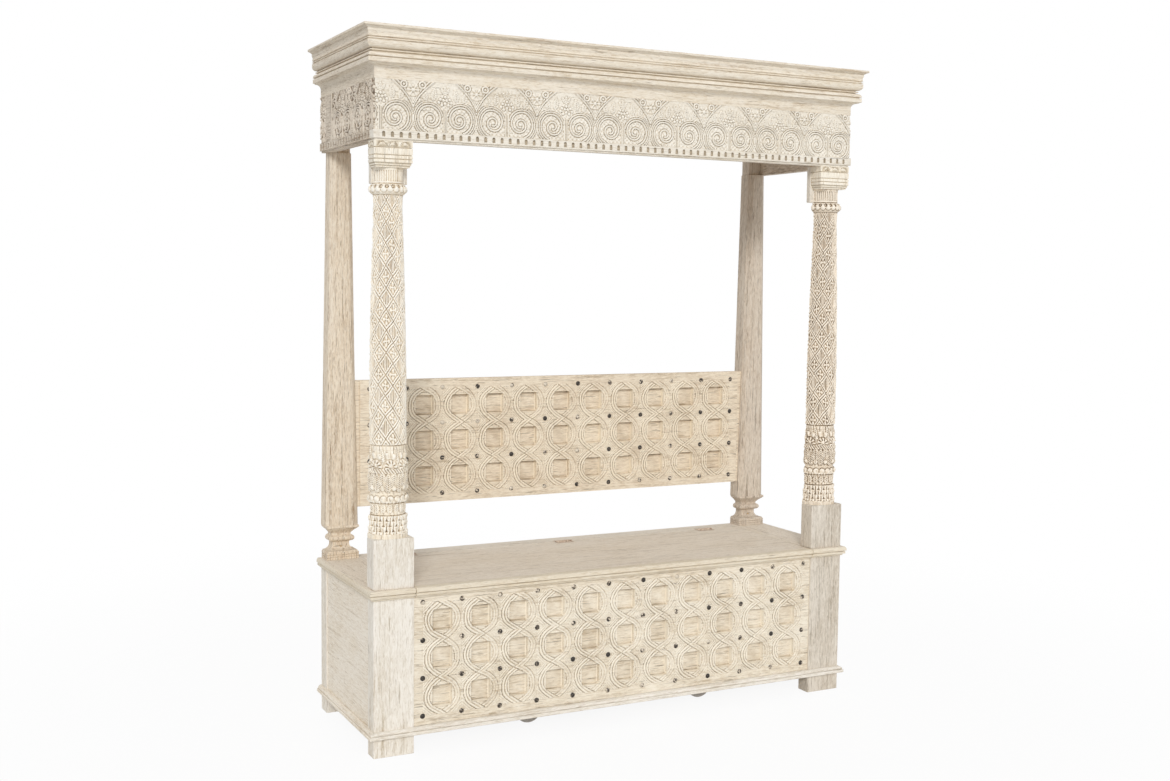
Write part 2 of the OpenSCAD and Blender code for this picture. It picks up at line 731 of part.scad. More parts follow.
// Square capital: its side outline, stepped in below and with three grooves
module capital_side(inset_at_back) {
    w = 1.5;
    half = capital_w / 2;
    g = capital_groove;
    step = 3;
    steps = [[half - 2 * step, 0], [half - 2 * step, 5], [half - step, 6], [half - step, 12], [half, 13]];
    grooves = [for (h = capital_grooves) each [[half, h - w], [half - g, h - w + 0.5],
                                               [half - g, h + w - 0.5], [half, h + w]]];
    edge = concat(steps, grooves, [[half, capital_h]]);
    back = inset_at_back ? [[half, 0], [half, capital_h]] : edge;
    polygon(concat(inset_at_back ? [for (p = edge) [-p[0], p[1]]] : edge,
                   [for (i = [len(back) - 1:-1:0]) [inset_at_back ? back[i][0] : -back[i][0], back[i][1]]]));
}

// Small arched grooves along the capital's upper edge
module capital_arches()
for (i = [-1:1])
    translate([i * arch_pitch, capital_h - arch_w / 2 - 3])
    intersection() {
        difference() {
            circle(d = arch_w, $fn = 24);
            circle(d = arch_w - 2 * capital_groove, $fn = 24);
        }
        translate([-arch_w / 2, 0]) square([arch_w, arch_w / 2]);
    }

module capital() color(cream) {
    front = face_y + capital_inset;
    difference() {
        intersection() {
            along_y(front, stack_y) translate([-column_x, capital_z]) capital_side(false);
            along_x(-half_w, -inner_x)
                translate([front + capital_w / 2, capital_z]) capital_side(true);
        }
        along_y(front - eps, front + capital_groove) translate([-column_x, capital_z]) capital_arches();
        along_x(-column_x - capital_w / 2 - eps, -column_x - capital_w / 2 + capital_groove)
            translate([front + capital_w / 2, capital_z]) capital_arches();
        upright(-column_x, peg_y, capital_z - eps, capital_z + peg_l / 2, peg_d + 2 * peg_play);
        upright(-column_x, cap_peg_y, canopy_z - peg_l / 2, canopy_z + eps, cap_peg_d + 2 * peg_play);
    }
}

module capital_left() capital();
module capital_right() to_right() capital();

module capital_backing() color(cream)
box([-column_x - backing_w / 2 + backing_shift, stack_y, canopy_z - backing_h],
    [-column_x + backing_w / 2 + backing_shift, stack_y + backing_t, canopy_z]);

module capital_backing_left() capital_backing();
module capital_backing_right() to_right() capital_backing();

// Rear column base, the same on the front: half widths in from the plinth's edge and heights above it,
// drawn for a base 105 high and 102 wide and scaled to size
module rear_base_outline() {
    p = plinth_w / 2;
    u = plinth_w / 102;
    v = (rear_base_h - plinth_h) / 83;
    g = plinth_h / 3;
    q = 2 * u;
    lines = [for (i = [1, 2]) each [[p, i * g - 1], [p - q, i * g - 0.5], [p - q, i * g + 0.5], [p, i * g + 1]]];
    drawn = concat([[0, 0], [-2.5, 0.5], [-2.5, 4]], quarter([-5, 23], 19, -18.5, 90),
                   [[-24, 31]], arc([-20, 42], 9, -75, 65, 8),
                   [[-20.5, 52], [-20.5, 57], [-13, 66], [-3, 74], [-3, 76], [0, 76], [0, 83]]);
    half = concat([[p, 0]], lines, [for (d = drawn) [p + u * d[0], plinth_h + v * d[1]]]);
    polygon(concat(half, [for (i = [len(half) - 1:-1:0]) [-half[i][0], half[i][1]]]));
}

// Rear shaft: tapered with a slight bend in its sides, and bevelled at the front corners
module rear_shaft() translate([-rear_x, 0, 0]) {
    z0 = seat_h + rear_base_h;
    bend = seat_h + rear_bend_h;
    low = rear_low_w / 2;
    mid = rear_mid_w / 2;
    top = rear_top_w / 2;
    tilt = atan((top - low) / (canopy_z - z0) / sqrt(2));
    reach = canopy_z - z0;
    difference() {
        along_y(rear_y, back_y)
            polygon([[-low, z0 - eps], [low, z0 - eps], [low, z0], [mid, bend],
                     [top, canopy_z], [-top, canopy_z], [-mid, bend], [-low, z0]]);
        for (side = [0, 1])
            mirror([side, 0, 0])
            translate([-low + rear_bevel, rear_y, z0])
            rotate([0, 0, 45]) rotate([0, -tilt, 0])
            translate([-2 * low, -2 * low, -reach / 2]) cube([2 * low, 4 * low, 2 * reach]);
    }
}

module column_rear() color(tan_wood)
difference() {
    union() {
        intersection() {
            along_y(rear_y - plinth_out, back_y) translate([-rear_x, seat_h]) rear_base_outline();
            along_x(-half_w, -rear_x + plinth_w)
                translate([rear_y - plinth_out + plinth_w / 2, seat_h]) union() {
                    rear_base_outline();
                    square([plinth_w, rear_base_h]);
                }
        }
        rear_shaft();
        box([-frieze_in_x, rear_y + rear_bevel, canopy_z - eps],
            [-rear_x + rear_top_w / 2 - canopy_shoulder, back_y, frieze_top]);
    }
    box([-half_w, canopy_back_y, frieze_top - canopy_back_drop], [-inner_x + post_w, back_y + eps, frieze_top + eps]);
    upright(-rear_x, rear_peg_y, seat_h - eps, seat_h + peg_l, peg_d + 2 * peg_play);
    dowel_bores(-1);
}

module column_rear_left() column_rear();
module column_rear_right() to_right() column_rear();

// Half width of a rear column at height z, between its base and its bend
function rear_half_w(z) = let (z0 = seat_h + rear_base_h, z1 = seat_h + rear_bend_h)
    (rear_low_w + (rear_mid_w - rear_low_w) * (z - z0) / (z1 - z0)) / 2;

// Dowels between the back panel and the rear column on the side that side names
module at_dowels(side, l, d)
for (z = dowel_zs)
    translate([side * (rear_x - rear_half_w(z)), back_panel_y + back_panel_t / 2, z])
    rotate([0, 90, 0]) cylinder(d = d, h = 2 * l, center = true, $fn = 24);

module dowel_bores(side) at_dowels(side, dowel_l + 0.5, dowel_d + 2 * peg_play);

module back_panel() color(cream)
difference() {
    along_y(back_panel_y, back_panel_y + back_panel_t)
        polygon([[-back_end_low, back_panel_z], [back_end_low, back_panel_z],
                 [back_end_top, back_panel_z + back_panel_h], [-back_end_top, back_panel_z + back_panel_h]]);
    carved_grid(back_panel_y, back_grid_z, back_pitch_x, back_pitch_z);
    dowel_bores(-1);
    dowel_bores(1);
}

module back_panel_studs() panel_studs(back_panel_y, back_grid_z, back_pitch_x, back_pitch_z);

module back_panel_dowels() color(raw_wood) {
    at_dowels(-1, dowel_l, dowel_d);
    at_dowels(1, dowel_l, dowel_d);
}

// Slots of the toothed band along a length l, centred on the origin
module band_slots(l) {
    n = floor((l - slot_w) / slot_pitch / 2);
    for (i = [-n:n])
        translate([i * slot_pitch, canopy_z + band_rise + (band_h - slot_h) / 2]) {
            translate([-slot_w / 2, 0]) square([slot_w, slot_h - slot_w / 2]);
            translate([0, slot_h - slot_w / 2]) circle(d = slot_w, $fn = 16);
        }
}

module frieze_front() color(cream)
difference() {
    union() {
        box([-frieze_x, frieze_y, canopy_z], [frieze_x, frieze_in_y, frieze_top]);
        box([-frieze_x - band_out, frieze_y - band_out, canopy_z + band_rise],
            [frieze_x + band_out, frieze_in_y, canopy_z + band_rise + band_h]);
    }
    along_y(frieze_y - band_out - eps, frieze_y) band_slots(2 * frieze_x);
}

module frieze_side() color(cream)
difference() {
    union() {
        box([-frieze_x, frieze_in_y, canopy_z], [-frieze_in_x, back_y, frieze_top]);
        box([-frieze_x - band_out, frieze_in_y, canopy_z + band_rise],
            [-frieze_in_x, back_y, canopy_z + band_rise + band_h]);
    }
    along_x(-frieze_x - band_out - eps, -frieze_x)
        translate([(frieze_in_y + back_y) / 2, 0]) band_slots(back_y - frieze_in_y);
}

module frieze_left() frieze_side();
module frieze_right() to_right() frieze_side();

// Cornice outline: X is the distance out from the posts' faces, Y the height above the frieze.
// From below: a cove, a band, an ovolo, two quirks, a swelling, two fine quirks, a hollow and the lip.
// The face is drawn for a cornice 122 high that stands out 36, and scaled to size
module cornice_outline() {
    h = cornice_h;
    u = cornice_over / 36;
    v = cornice_h / 122;
    back = -frieze_in - frieze_t;
    lap = -frieze_in + 2;
    face = concat(
        arc([11, 5], 15, 180, 100, 5),
        [[14.5, 20], [14.5, 22], [20.5, 22.5], [20.5, 35], [14.5, 35.5], [14.5, 38], [20.5, 38.5]],
        quarter([9.5, 39], 11, 11, 0, 6),
        [[5.5, 50], [5.5, 53], [12.5, 53.5], [12.5, 56.5], [5.5, 57], [5.5, 60]],
        arc([11, 72], 12, -80, 0, 6),
        [[23, 80], [18.5, 80.5], [18.5, 82.5], [22.5, 83], [22.5, 85.5], [18.5, 86], [18.5, 88]],
        arc([32, 96], 11, 215, 145, 5),
        [[23.5, 104], [23.5, 111]],
        arc([36, 102], 13.5, 140, 92, 4),
        [[36, 116], [36, 122]]);
    polygon(concat([[back, 0], [-frieze_in, 0], [-frieze_in, -cornice_lap], [lap, -cornice_lap], [lap, 5 * v]],
                   [for (f = face) [max(lap, u * f[0]), v * f[1]]],
                   [[back, h]]));
}

module cornice_front() color(tan_wood) front_run(frieze_top, cornice_h) cornice_outline();
module cornice_side() color(tan_wood) left_run(frieze_top, cornice_h) cornice_outline();
module cornice_left() cornice_side();
module cornice_right() to_right() cornice_side();

module canopy_back_board() color(raw_wood)
box([-frieze_in_x, canopy_back_y, frieze_top - canopy_back_drop], [frieze_in_x, back_y, top_z]);

module corner_block() color(raw_wood)
difference() {
    box([-frieze_in_x, frieze_in_y, canopy_z],
        [-frieze_in_x + corner_block_w, frieze_in_y + corner_block_w, frieze_top]);
    upright(-column_x, cap_peg_y, canopy_z - eps, canopy_z + peg_l, cap_peg_d + 2 * peg_play);
}

module canopy_corner_block_left() corner_block();
module canopy_corner_block_right() to_right() corner_block();

module roof_boards() color(raw_wood) {
    board_d = (canopy_back_y - frieze_in_y) / roof_board_count;
    for (i = [0:roof_board_count - 1])
        box([-frieze_in_x, frieze_in_y + i * board_d, roof_z],
            [frieze_in_x, frieze_in_y + (i + 1) * board_d - board_gap, roof_z + roof_t]);
}

// Frame of cleats under the roof boards, with two cross cleats
module roof_cleats() color(raw_wood) {
    z0 = roof_z - cleat_h;
    x = frieze_in_x - cleat_w - board_gap;
    for (side = [-1, 1]) {
        translate([side * (frieze_in_x - cleat_w / 2), 0, 0])
            box([-cleat_w / 2, frieze_in_y, z0], [cleat_w / 2, canopy_back_y, roof_z]);
        translate([side * frieze_in_x / 3, 0, 0])
            box([-cleat_w / 2, frieze_in_y + cleat_w + board_gap, z0],
                [cleat_w / 2, canopy_back_y - cleat_w - board_gap, roof_z]);
    }
    box([-x, frieze_in_y, z0], [x, frieze_in_y + cleat_w, roof_z]);
    box([-x, canopy_back_y - cleat_w, z0], [x, canopy_back_y, roof_z]);
}

// Pegs up each front stack: post to pedestal, pedestal to column, column to capital, capital to canopy
module pegs_front() color(raw_wood)
for (side = [-1, 1]) {
    x = side * column_x;
    upright(x, peg_y, seat_z - peg_l, seat_h + peg_l, peg_d);
    upright(x, peg_y, ped_top - peg_l, ped_top + peg_l, peg_d);
    upright(x, peg_y, capital_z - peg_l, capital_z + peg_l / 2, peg_d);
    upright(x, cap_peg_y, canopy_z - peg_l / 2, canopy_z + peg_l, cap_peg_d);
}

module pegs_rear() color(raw_wood)
for (side = [-1, 1])
    upright(side * rear_x, rear_peg_y, seat_z - peg_l, seat_h + peg_l, peg_d);

corner_post_front_left();
corner_post_front_right();
corner_post_rear_left();
corner_post_rear_right();
side_panel_left();
side_panel_right();
front_panel();
front_panel_studs();
chest_back();
bottom_boards();
floor_bearer_left();
floor_bearer_right();
base_moulding_front();
base_moulding_left();
base_moulding_right();
lid_bearer_left();
lid_bearer_right();
lid_bearer_rear();
seat_end_left();
seat_end_right();
seat_rear_rail();
lid_panel();
lid_nosing();
lid_battens();
hinge_rail_leaves();
hinge_lid_leaves();
hinge_pins();
hinge_rail_screws();
hinge_lid_screws();
pedestal_block_left();
pedestal_block_right();
column_front_left();
column_front_right();
capital_left();
capital_right();
capital_backing_left();
capital_backing_right();
column_rear_left();
column_rear_right();
back_panel();
back_panel_studs();
back_panel_dowels();
frieze_front();
frieze_left();
frieze_right();
canopy_back_board();
canopy_corner_block_left();
canopy_corner_block_right();
cornice_front();
cornice_left();
cornice_right();
roof_boards();
roof_cleats();
pegs_front();
pegs_rear();
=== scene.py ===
# Looks of the canopied storage bench, in metres, in the frame of its CAD model.

import math

import bpy
import numpy as np
from mathutils import Matrix, Vector


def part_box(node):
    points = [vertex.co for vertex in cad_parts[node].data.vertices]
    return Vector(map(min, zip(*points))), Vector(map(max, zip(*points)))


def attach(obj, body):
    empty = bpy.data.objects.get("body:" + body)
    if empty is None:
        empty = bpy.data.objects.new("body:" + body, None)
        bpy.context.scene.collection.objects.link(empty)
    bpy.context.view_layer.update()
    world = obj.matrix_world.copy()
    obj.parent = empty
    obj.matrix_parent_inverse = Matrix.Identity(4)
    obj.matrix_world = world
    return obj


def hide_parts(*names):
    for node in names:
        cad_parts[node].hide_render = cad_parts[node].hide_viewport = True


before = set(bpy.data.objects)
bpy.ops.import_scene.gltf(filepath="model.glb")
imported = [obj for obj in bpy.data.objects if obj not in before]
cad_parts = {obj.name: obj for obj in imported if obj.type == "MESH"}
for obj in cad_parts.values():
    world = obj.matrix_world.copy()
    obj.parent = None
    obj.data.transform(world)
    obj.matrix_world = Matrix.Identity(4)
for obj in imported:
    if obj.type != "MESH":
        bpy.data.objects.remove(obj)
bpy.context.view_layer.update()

# Camera, where the photograph was taken from: a 42.4 mm lens on a 36 mm wide frame.
# The angles and the place were fitted to the bench's corners in the photograph.
azimuth, elevation, roll = math.radians(27.142), math.radians(-4.686), math.radians(0.699)
ahead = Vector((math.sin(azimuth) * math.cos(elevation), math.cos(azimuth) * math.cos(elevation),
                math.sin(elevation)))
level_right = ahead.cross(Vector((0, 0, 1))).normalized()
level_up = level_right.cross(ahead)
camera_right = math.cos(roll) * level_right + math.sin(roll) * level_up
camera_up = math.cos(roll) * level_up - math.sin(roll) * level_right
lens = bpy.data.cameras.new("camera")
lens.sensor_width = 36
lens.lens = 42.387
camera = bpy.data.objects.new("camera", lens)
bpy.context.scene.collection.objects.link(camera)
camera.matrix_world = Matrix.Translation((-2.0074, -3.8557, 1.3556)) @ Matrix(
    (camera_right, camera_up, -ahead)).transposed().to_4x4()
bpy.context.scene.camera = camera

# Corner posts of the chest: thick mango planks that run to the floor as feet.
# Their faces were limed: white paste was rubbed into the grain and wiped off again,
# so it stays in pores and hollows while the streaks of the wood show through.
MM = 0.001
# Points of a mesh that lie nearer to each other than this are one point
HAIR = 0.01 * MM


def add(tree, kind, inputs=None, **settings):
    """Adds a node with its settings; an input is given a value or the socket that feeds it."""
    node = tree.nodes.new("ShaderNode" + kind)
    for name, value in settings.items():
        setattr(node, name, value)
    for name, value in (inputs or {}).items():
        if isinstance(value, bpy.types.NodeSocket):
            tree.links.new(value, node.inputs[name])
        else:
            node.inputs[name].default_value = value
    return node


def linear(hex_colour):
    """A colour written as sRGB hex, as the linear values that a shader takes."""
    values = [int(hex_colour[i:i + 2], 16) / 255 for i in (1, 3, 5)]
    return [v / 12.92 if v <= 0.04045 else ((v + 0.055) / 1.055) ** 2.4 for v in values] + [1]


def blend_stops(ramp, *stops):
    """Sets a colour ramp's stops, each a position and a hex colour."""
    while len(ramp.color_ramp.elements) < len(stops):
        ramp.color_ramp.elements.new(0.5)
    for element, (position, colour) in zip(ramp.color_ramp.elements, stops):
        element.position = position
        element.color = linear(colour)


def new_material(name):
    """An empty material to build nodes in, and its node tree."""
    material = bpy.data.materials.new(name)
    material.use_nodes = True
    material.node_tree.nodes.clear()
    return material, material.node_tree


def limed_mango(name, grain, streak, wood, lime, crack="#a08f79", cover=0.5, bump=0.4,
                carved=False):
    """Sawn mango, sanded and limed, with its grain along the axis named.

    The lime is matt and nearly white; cover is how far it hides the streaks in its patches.
    Real pores are 0.2 mm wide, drawn 1.6 mm to show. A carved piece is paler on its ridges and
    darker in its cuts: partly lime and old dirt, partly painted highlight and painted shade."""
    material, tree = new_material(name)
    where = add(tree, "TexCoord").outputs["Object"]
    marks = {}
    # Each kind of mark, with its width across the grain and its length along it in millimetres
    for mark, across, along, settings in (
            ("streaks", 9, 260, {"Detail": 5, "Roughness": 0.62, "Distortion": 0.5}),
            ("cracks", 3, 70, {"Detail": 3, "Roughness": 0.55, "Distortion": 0.6}),
            ("flakes", 5, 20, {"Detail": 5, "Roughness": 0.6, "Distortion": 0.8}),
            ("pores", 1.6, 26, {"Detail": 2, "Roughness": 0.7}),
            ("patches", 90, 210, {"Detail": 3, "Roughness": 0.55})):
        scale = [1 / (along if axis == grain else across) / MM for axis in "XYZ"]
        stretched = add(tree, "Mapping", {"Vector": where, "Scale": scale}).outputs["Vector"]
        noise = add(tree, "TexNoise", {"Vector": stretched, "Scale": 1, **settings})
        marks[mark] = noise.outputs["Fac"]
    # Coats over the streaks: the mark each follows, from where to where, how much, its colour
    coats = [("patches", 0.38, 0.62, cover, lime), ("flakes", 0.50, 0.57, 0.45, lime),
             ("flakes", 0.43, 0.33, 0.4, streak), ("pores", 0.44, 0.30, 0.5, streak),
             ("pores", 0.57, 0.70, 0.7, lime), ("cracks", 0.39, 0.30, 0.75, crack)]
    if carved:
        cut = add(tree, "Attribute", attribute_name="cut").outputs["Fac"]
        deep = add(tree, "MapRange", {"Value": cut, "From Min": 0.6, "From Max": 1})
        left = add(tree, "MapRange", {"Value": marks["flakes"], "From Min": 0.40,
                                      "From Max": 0.55, "To Max": 0.9})
        dirt = add(tree, "Math", {0: deep.outputs["Result"], 1: left.outputs["Result"]},
                   operation="MULTIPLY")
        marks.update(cut=cut, dirt=dirt.outputs["Value"])
        # Ridges take lime and the deepest cuts go dark: partly lime and dirt, partly painted
        # highlight and painted shade
        coats += [("cut", 0.3, 0, 0.8, lime), ("cut", 0.42, 0.85, 0.8, streak),
                  ("dirt", 0, 1, 1, crack)]
    figure = add(tree, "ValToRGB", {"Fac": marks["streaks"]})
    blend_stops(figure, (0.30, streak), (0.46, wood), (0.62, wood), (0.74, lime))
    colour = figure.outputs["Color"]
    for mark, low, high, most, coat in coats:
        share = add(tree, "MapRange", {"Value": marks[mark], "From Min": low, "From Max": high,
                                       "To Max": most})
        colour = add(tree, "MixRGB", {"Fac": share.outputs["Result"], "Color1": colour,
                                      "Color2": linear(coat)}).outputs["Color"]
    worn = add(tree, "MapRange", {"Value": marks["streaks"], "To Min": 0.82, "To Max": 0.62})
    rough = add(tree, "Math", {0: marks["flakes"], 1: marks["pores"]}, operation="ADD")
    surface = add(tree, "Math", {0: rough.outputs["Value"], 1: marks["cracks"]}, operation="ADD")
    raised = add(tree, "Bump", {"Height": surface.outputs["Value"], "Strength": bump,
                                "Distance": 0.8 * MM})
    shader = add(tree, "BsdfPrincipled", {
        "Base Color": colour, "Roughness": worn.outputs["Result"],
        "Normal": raised.outputs["Normal"], "IOR": 1.5, "Specular IOR Level": 0.3})
    add(tree, "OutputMaterial", {"Surface": shader.outputs["BSDF"]})
    return material


def only(piece):
    """Selects this piece alone and makes it active."""
    bpy.ops.object.select_all(action="DESELECT")
    piece.select_set(True)
    bpy.context.view_layer.objects.active = piece


def eased(node, body, material, edge=1.5):
    """A sawn piece with its edges eased by that many millimetres, as sandpaper leaves them."""
    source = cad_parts[node]
    piece = bpy.data.objects.new(node + "_sanded", source.data.copy())
    bpy.context.scene.collection.objects.link(piece)
    piece.data.materials.clear()
    piece.data.materials.append(material)
    only(piece)
    bpy.ops.mesh.customdata_custom_splitnormals_clear()
    bpy.ops.object.mode_set(mode="EDIT")
    bpy.ops.mesh.select_all(action="SELECT")
    bpy.ops.mesh.remove_doubles(threshold=HAIR)
    bpy.ops.mesh.dissolve_limited(angle_limit=math.radians(0.5))
    bpy.ops.object.mode_set(mode="OBJECT")
    bevel = piece.modifiers.new("eased_edges", "BEVEL")
    bevel.width = edge * MM
    bevel.segments = 2
    bevel.limit_method = "ANGLE"
    bevel.angle_limit = math.radians(35)
    bevel.use_clamp_overlap = False
    bpy.ops.object.modifier_apply(modifier=bevel.name)
    lowest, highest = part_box(node)
    for vertex in piece.data.vertices:
        vertex.co = [min(max(c, a), b) for c, a, b in zip(vertex.co, lowest, highest)]
    bpy.ops.object.shade_smooth_by_angle(angle=math.radians(20))
    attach(piece, body)
    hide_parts(node)
    return piece


# Well covered mango shows cream with soft brown streaks; the right posts get a darker copy of it,
# as painted shade
cream = {"streak": "#b8a88f", "wood": "#e3dacb", "lime": "#f7f2e9"}
cream_upright = limed_mango("cream_limed_mango_upright", "Z", **cream)
shaded_upright = limed_mango("shaded_limed_mango_upright", "Z", streak="#897963", wood="#cbbfae",
                           lime="#e6ded1", crack="#85745f")
for end in ("front", "rear"):
    eased(f"corner_post_{end}_left", "bench", cream_upright, edge=2)
    eased(f"corner_post_{end}_right", "bench", shaded_upright, edge=2)

# Side panels of the chest: plain boards with the grain from front to back, held by tongues in
# the posts' grooves. Their cream is painted lighter and warmer than the posts', as painted light
# to offset the weaker light on the sides.
lit_cream_across = limed_mango("lit_limed_mango_side", "Y", streak="#c6b59c", wood="#e8dcc9",
                           lime="#f6efe3", crack="#b3a188", cover=0.45)
for side in ("left", "right"):
    eased("side_panel_" + side, "bench", lit_cream_across, edge=1)

# Front panel: one board carved in three rows of eleven square wells with interlaced bands round
# them. A band has two ridges between cuts, swings round each well, and goes over and under the
# next band at each crossing. The carving is heights of a formula on two fine sheets.
COLUMNS, ROWS = 11, 3
WELL_W, WELL_H, WELL_CORNER, WELL_FLOOR = 60, 62, 4, 14.5
BAND_HALF = 9
PLAIN_HEIGHT = 0.6
PLAIN_DULL = 0.38
# Steps of the sheet in a well, between two in a row, and between two rows
STEPS_IN, STEPS_BESIDE, STEPS_ABOVE = 34, 32, 27
# Share of a cell that the sheets reach past the outer wells
PAST = 0.25
# On carved mango the ridges are paler and the cuts darker: partly thin warm lime and old dirt,
# partly painted highlight and painted shade
cream_panel = limed_mango("cream_limed_mango_panel", "X", streak="#b7a489", wood="#dfd1ba",
                          lime="#f7efdf", crack="#665440", cover=0.4, carved=True)


def ridge(distance, width, height):
    """Height of a rounded ridge at a distance from its middle line."""
    return height * np.sqrt(np.clip(1 - (2 * distance / width) ** 2, 0, 1))


def dome(h, v, radius, height):
    """Height of a round boss."""
    return height * np.sqrt(np.clip(1 - (h ** 2 + v ** 2) / radius ** 2, 0, 1))


def mark_cuts(mesh, values):
    """Keeps how dull each point of a carved piece is, for its material to read."""
    mesh.attributes.new("cut", "FLOAT", "POINT").data.foreach_set("value", values)


def sheet(name, columns, rows, place, material, dirt=0.28):
    """A closed shell of carved wood.

    place(u, v, rim) gives its points and their heights in millimetres, and how dull they are.
    A place lower than those round it is made darker by the last argument's amount for each
    millimetre: partly old dirt, partly painted shade.
    A negative dullness holds whatever the heights are."""
    bpy.ops.object.select_all(action="DESELECT")
    bpy.ops.mesh.primitive_grid_add(x_subdivisions=columns + 2, y_subdivisions=rows + 2, size=1)
    piece = bpy.context.object
    piece.name = name
    flat = np.empty(len(piece.data.vertices) * 3)
    piece.data.vertices.foreach_get("co", flat)
    across, up = flat[0::3] + 0.5, flat[1::3] + 0.5
    rim = (np.abs(across - 0.5) > 0.49999) | (np.abs(up - 0.5) > 0.49999)
    u = np.clip((across * (columns + 2) - 1) / columns, 0, 1)
    v = np.clip((up * (rows + 2) - 1) / rows, 0, 1)
    points, height, dull = place(u, v, rim)
    dirt_and_shade_height = height.reshape(-1, np.count_nonzero(up < 0.00001))
    around = dirt_and_shade_height
    for axis in (0, 1):
        around = sum(np.roll(around, step, axis) for step in range(-2, 3)) / 5
    # Lower than the places round it means darker: old dirt and painted shade
    cut = np.where(dull < 0, -dull, dull + dirt * (around - dirt_and_shade_height).ravel())
    piece.data.vertices.foreach_set("co", (points * MM).astype(float).ravel())
    mark_cuts(piece.data, np.clip(cut, 0, 1))
    piece.data.materials.append(material)
    piece.data.update()
    only(piece)
    bpy.ops.object.mode_set(mode="EDIT")
    bpy.ops.mesh.select_all(action="SELECT")
    bpy.ops.mesh.remove_doubles(threshold=HAIR)
    # The open edge is filled with one flat face at the back
    bpy.ops.mesh.select_all(action="DESELECT")
    bpy.ops.mesh.select_non_manifold(extend=False)
    if piece.data.total_edge_sel > 2:
        bpy.ops.mesh.edge_face_add()
    bpy.ops.mesh.select_all(action="SELECT")
    bpy.ops.mesh.normals_make_consistent(inside=False)
    bpy.ops.object.mode_set(mode="OBJECT")
    bpy.ops.object.shade_smooth_by_angle(angle=math.radians(42))
    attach(piece, "bench")
    return piece


def band(d):
    """Height across the band, d from its middle line: two ridges between narrow cuts."""
    a = np.abs(d)
    return np.where(a > 7.6, -1.6, np.where(a < 0.9, PLAIN_HEIGHT, ridge(a - 4.2, 7.2, 3.0)))


def panel_relief(j, x, z, pitch_x, pitch_z):
    """Heights of the carving round a well in row j, x and z from its middle."""
    turn = math.pi * z / pitch_z
    swing = 0.5 * pitch_x - 13.6
    across = swing * (1.06 * np.cos(turn) - 0.06 * np.cos(3 * turn))
    slope = swing * math.pi / pitch_z * (-1.06 * np.sin(turn) + 0.18 * np.sin(3 * turn))
    lean = 1 / np.sqrt(1 + slope ** 2)
    right, left = (x - across) * lean, (x + across) * lean
    swap = np.mod(j, 2) == 0
    first, second = np.where(swap, right, left), np.where(swap, left, right)
    over, under = np.where(z > 0, first, second), np.where(z > 0, second, first)
    height = np.full_like(x, PLAIN_HEIGHT)
    # An eye of short cuts above and below each well, and slanting ones beside its corners
    inner = np.abs(z) - WELL_H / 2
    eye = (inner > 1) & (np.abs(x) < 24)
    height = np.where(eye, 2.4 * np.abs(np.cos(math.pi * (inner - 1) / 6)), height)
    corner = (np.abs(x) > 0.25 * pitch_x) & (np.abs(z) > 10)
    slant = np.abs(np.cos(math.pi * (np.abs(x) + np.abs(z)) / 9))
    height = np.where(corner, 0.4 + 2 * slant, height)
    # Plain wood under each stud's head
    near_stud = np.hypot(np.abs(x) - pitch_x / 2, np.abs(z) - pitch_z / 2)
    height = np.where(near_stud < 13, PLAIN_HEIGHT, height)
    for line in (under, over):
        height = np.where(np.abs(line) < BAND_HALF, band(line), height)
    return height


def stepped(run, pitch, opening, inside, outside):
    """Places along a row of cells, in even steps across each opening and between them."""
    cell, part = np.divmod(run, 1)
    share = inside / (inside + outside)
    off = np.abs(part - 0.5)
    shift = np.where(off < share / 2, off / share * opening,
                     opening / 2 + (off - share / 2) / (1 - share) * (pitch - opening))
    return cell, np.sign(part - 0.5) * shift


def carved_panel(first, count, face, middle, pitch_x, pitch_z, half_length, low, high):
    """Places on a panel's face over some columns of wells, in millimetres."""
    def place(u, v, rim):
        start = -PAST if first == 0 else first
        stop = COLUMNS + PAST if first + count == COLUMNS else first + count
        i, x = stepped(start + u * (stop - start), pitch_x, WELL_W, STEPS_IN, STEPS_BESIDE)
        j, z = stepped(-PAST + v * (ROWS + 2 * PAST), pitch_z, WELL_H, STEPS_IN, STEPS_ABOVE)
        run = x + (i - (COLUMNS - 1) / 2) * pitch_x
        rise = z + middle + (j - (ROWS - 1) / 2) * pitch_z
        # The carver's hand wavers by a millimetre or so
        height = panel_relief(j, x + 1.1 * np.sin(rise / 13 + run / 29),
                              z + 1.1 * np.sin(run / 17 - rise / 31), pitch_x, pitch_z)
        uneven = 0.25 * np.sin(run / 5.3 + 2 * np.sin(rise / 19)) * np.sin(rise / 4.1 + run / 47)
        height = height * (1 + uneven)
        in_well = ((np.abs(x) < WELL_W / 2 - 0.01) & (np.abs(z) < WELL_H / 2 - 0.01)
                   & (np.abs(x) + np.abs(z) < (WELL_W + WELL_H) / 2 - WELL_CORNER))
        plain = (i < 0) | (i >= COLUMNS) | (j < 0) | (j >= ROWS)
        height, in_well = np.where(plain, PLAIN_HEIGHT, height), in_well & ~plain
        # Painted light and shade: the right of each well and its right wall are painted pale as
        # if lit, and its left, its top, its floor and the band to its left are painted darker as
        # if in shade
        dirt_and_shade_height = np.where(in_well, -2.8 + 2.2 * np.clip((x - z) / 56, -1, 1),
                        height * (1 - 0.45 * np.tanh(x / 18)))
        worn = (0.07 * np.sin(run / 37 + 2 * np.sin(rise / 61))
                + 0.05 * np.sin(rise / 13 + run / 9))
        sunk = np.where(rim, WELL_FLOOR + 0.8, np.where(in_well, WELL_FLOOR, -height))
        points = np.stack([np.clip(run, -half_length, half_length), face + sunk,
                           np.clip(rise, low, high)], 1)
        # The right wall of each well is painted pale whatever the heights are: a painted
        # highlight
        painted_highlight_wall = in_well & (x > WELL_W / 2 - 2.5)
        return points, dirt_and_shade_height, np.where(painted_highlight_wall, -0.01, np.where(in_well, 0.44, 0.32) + worn)
    return place


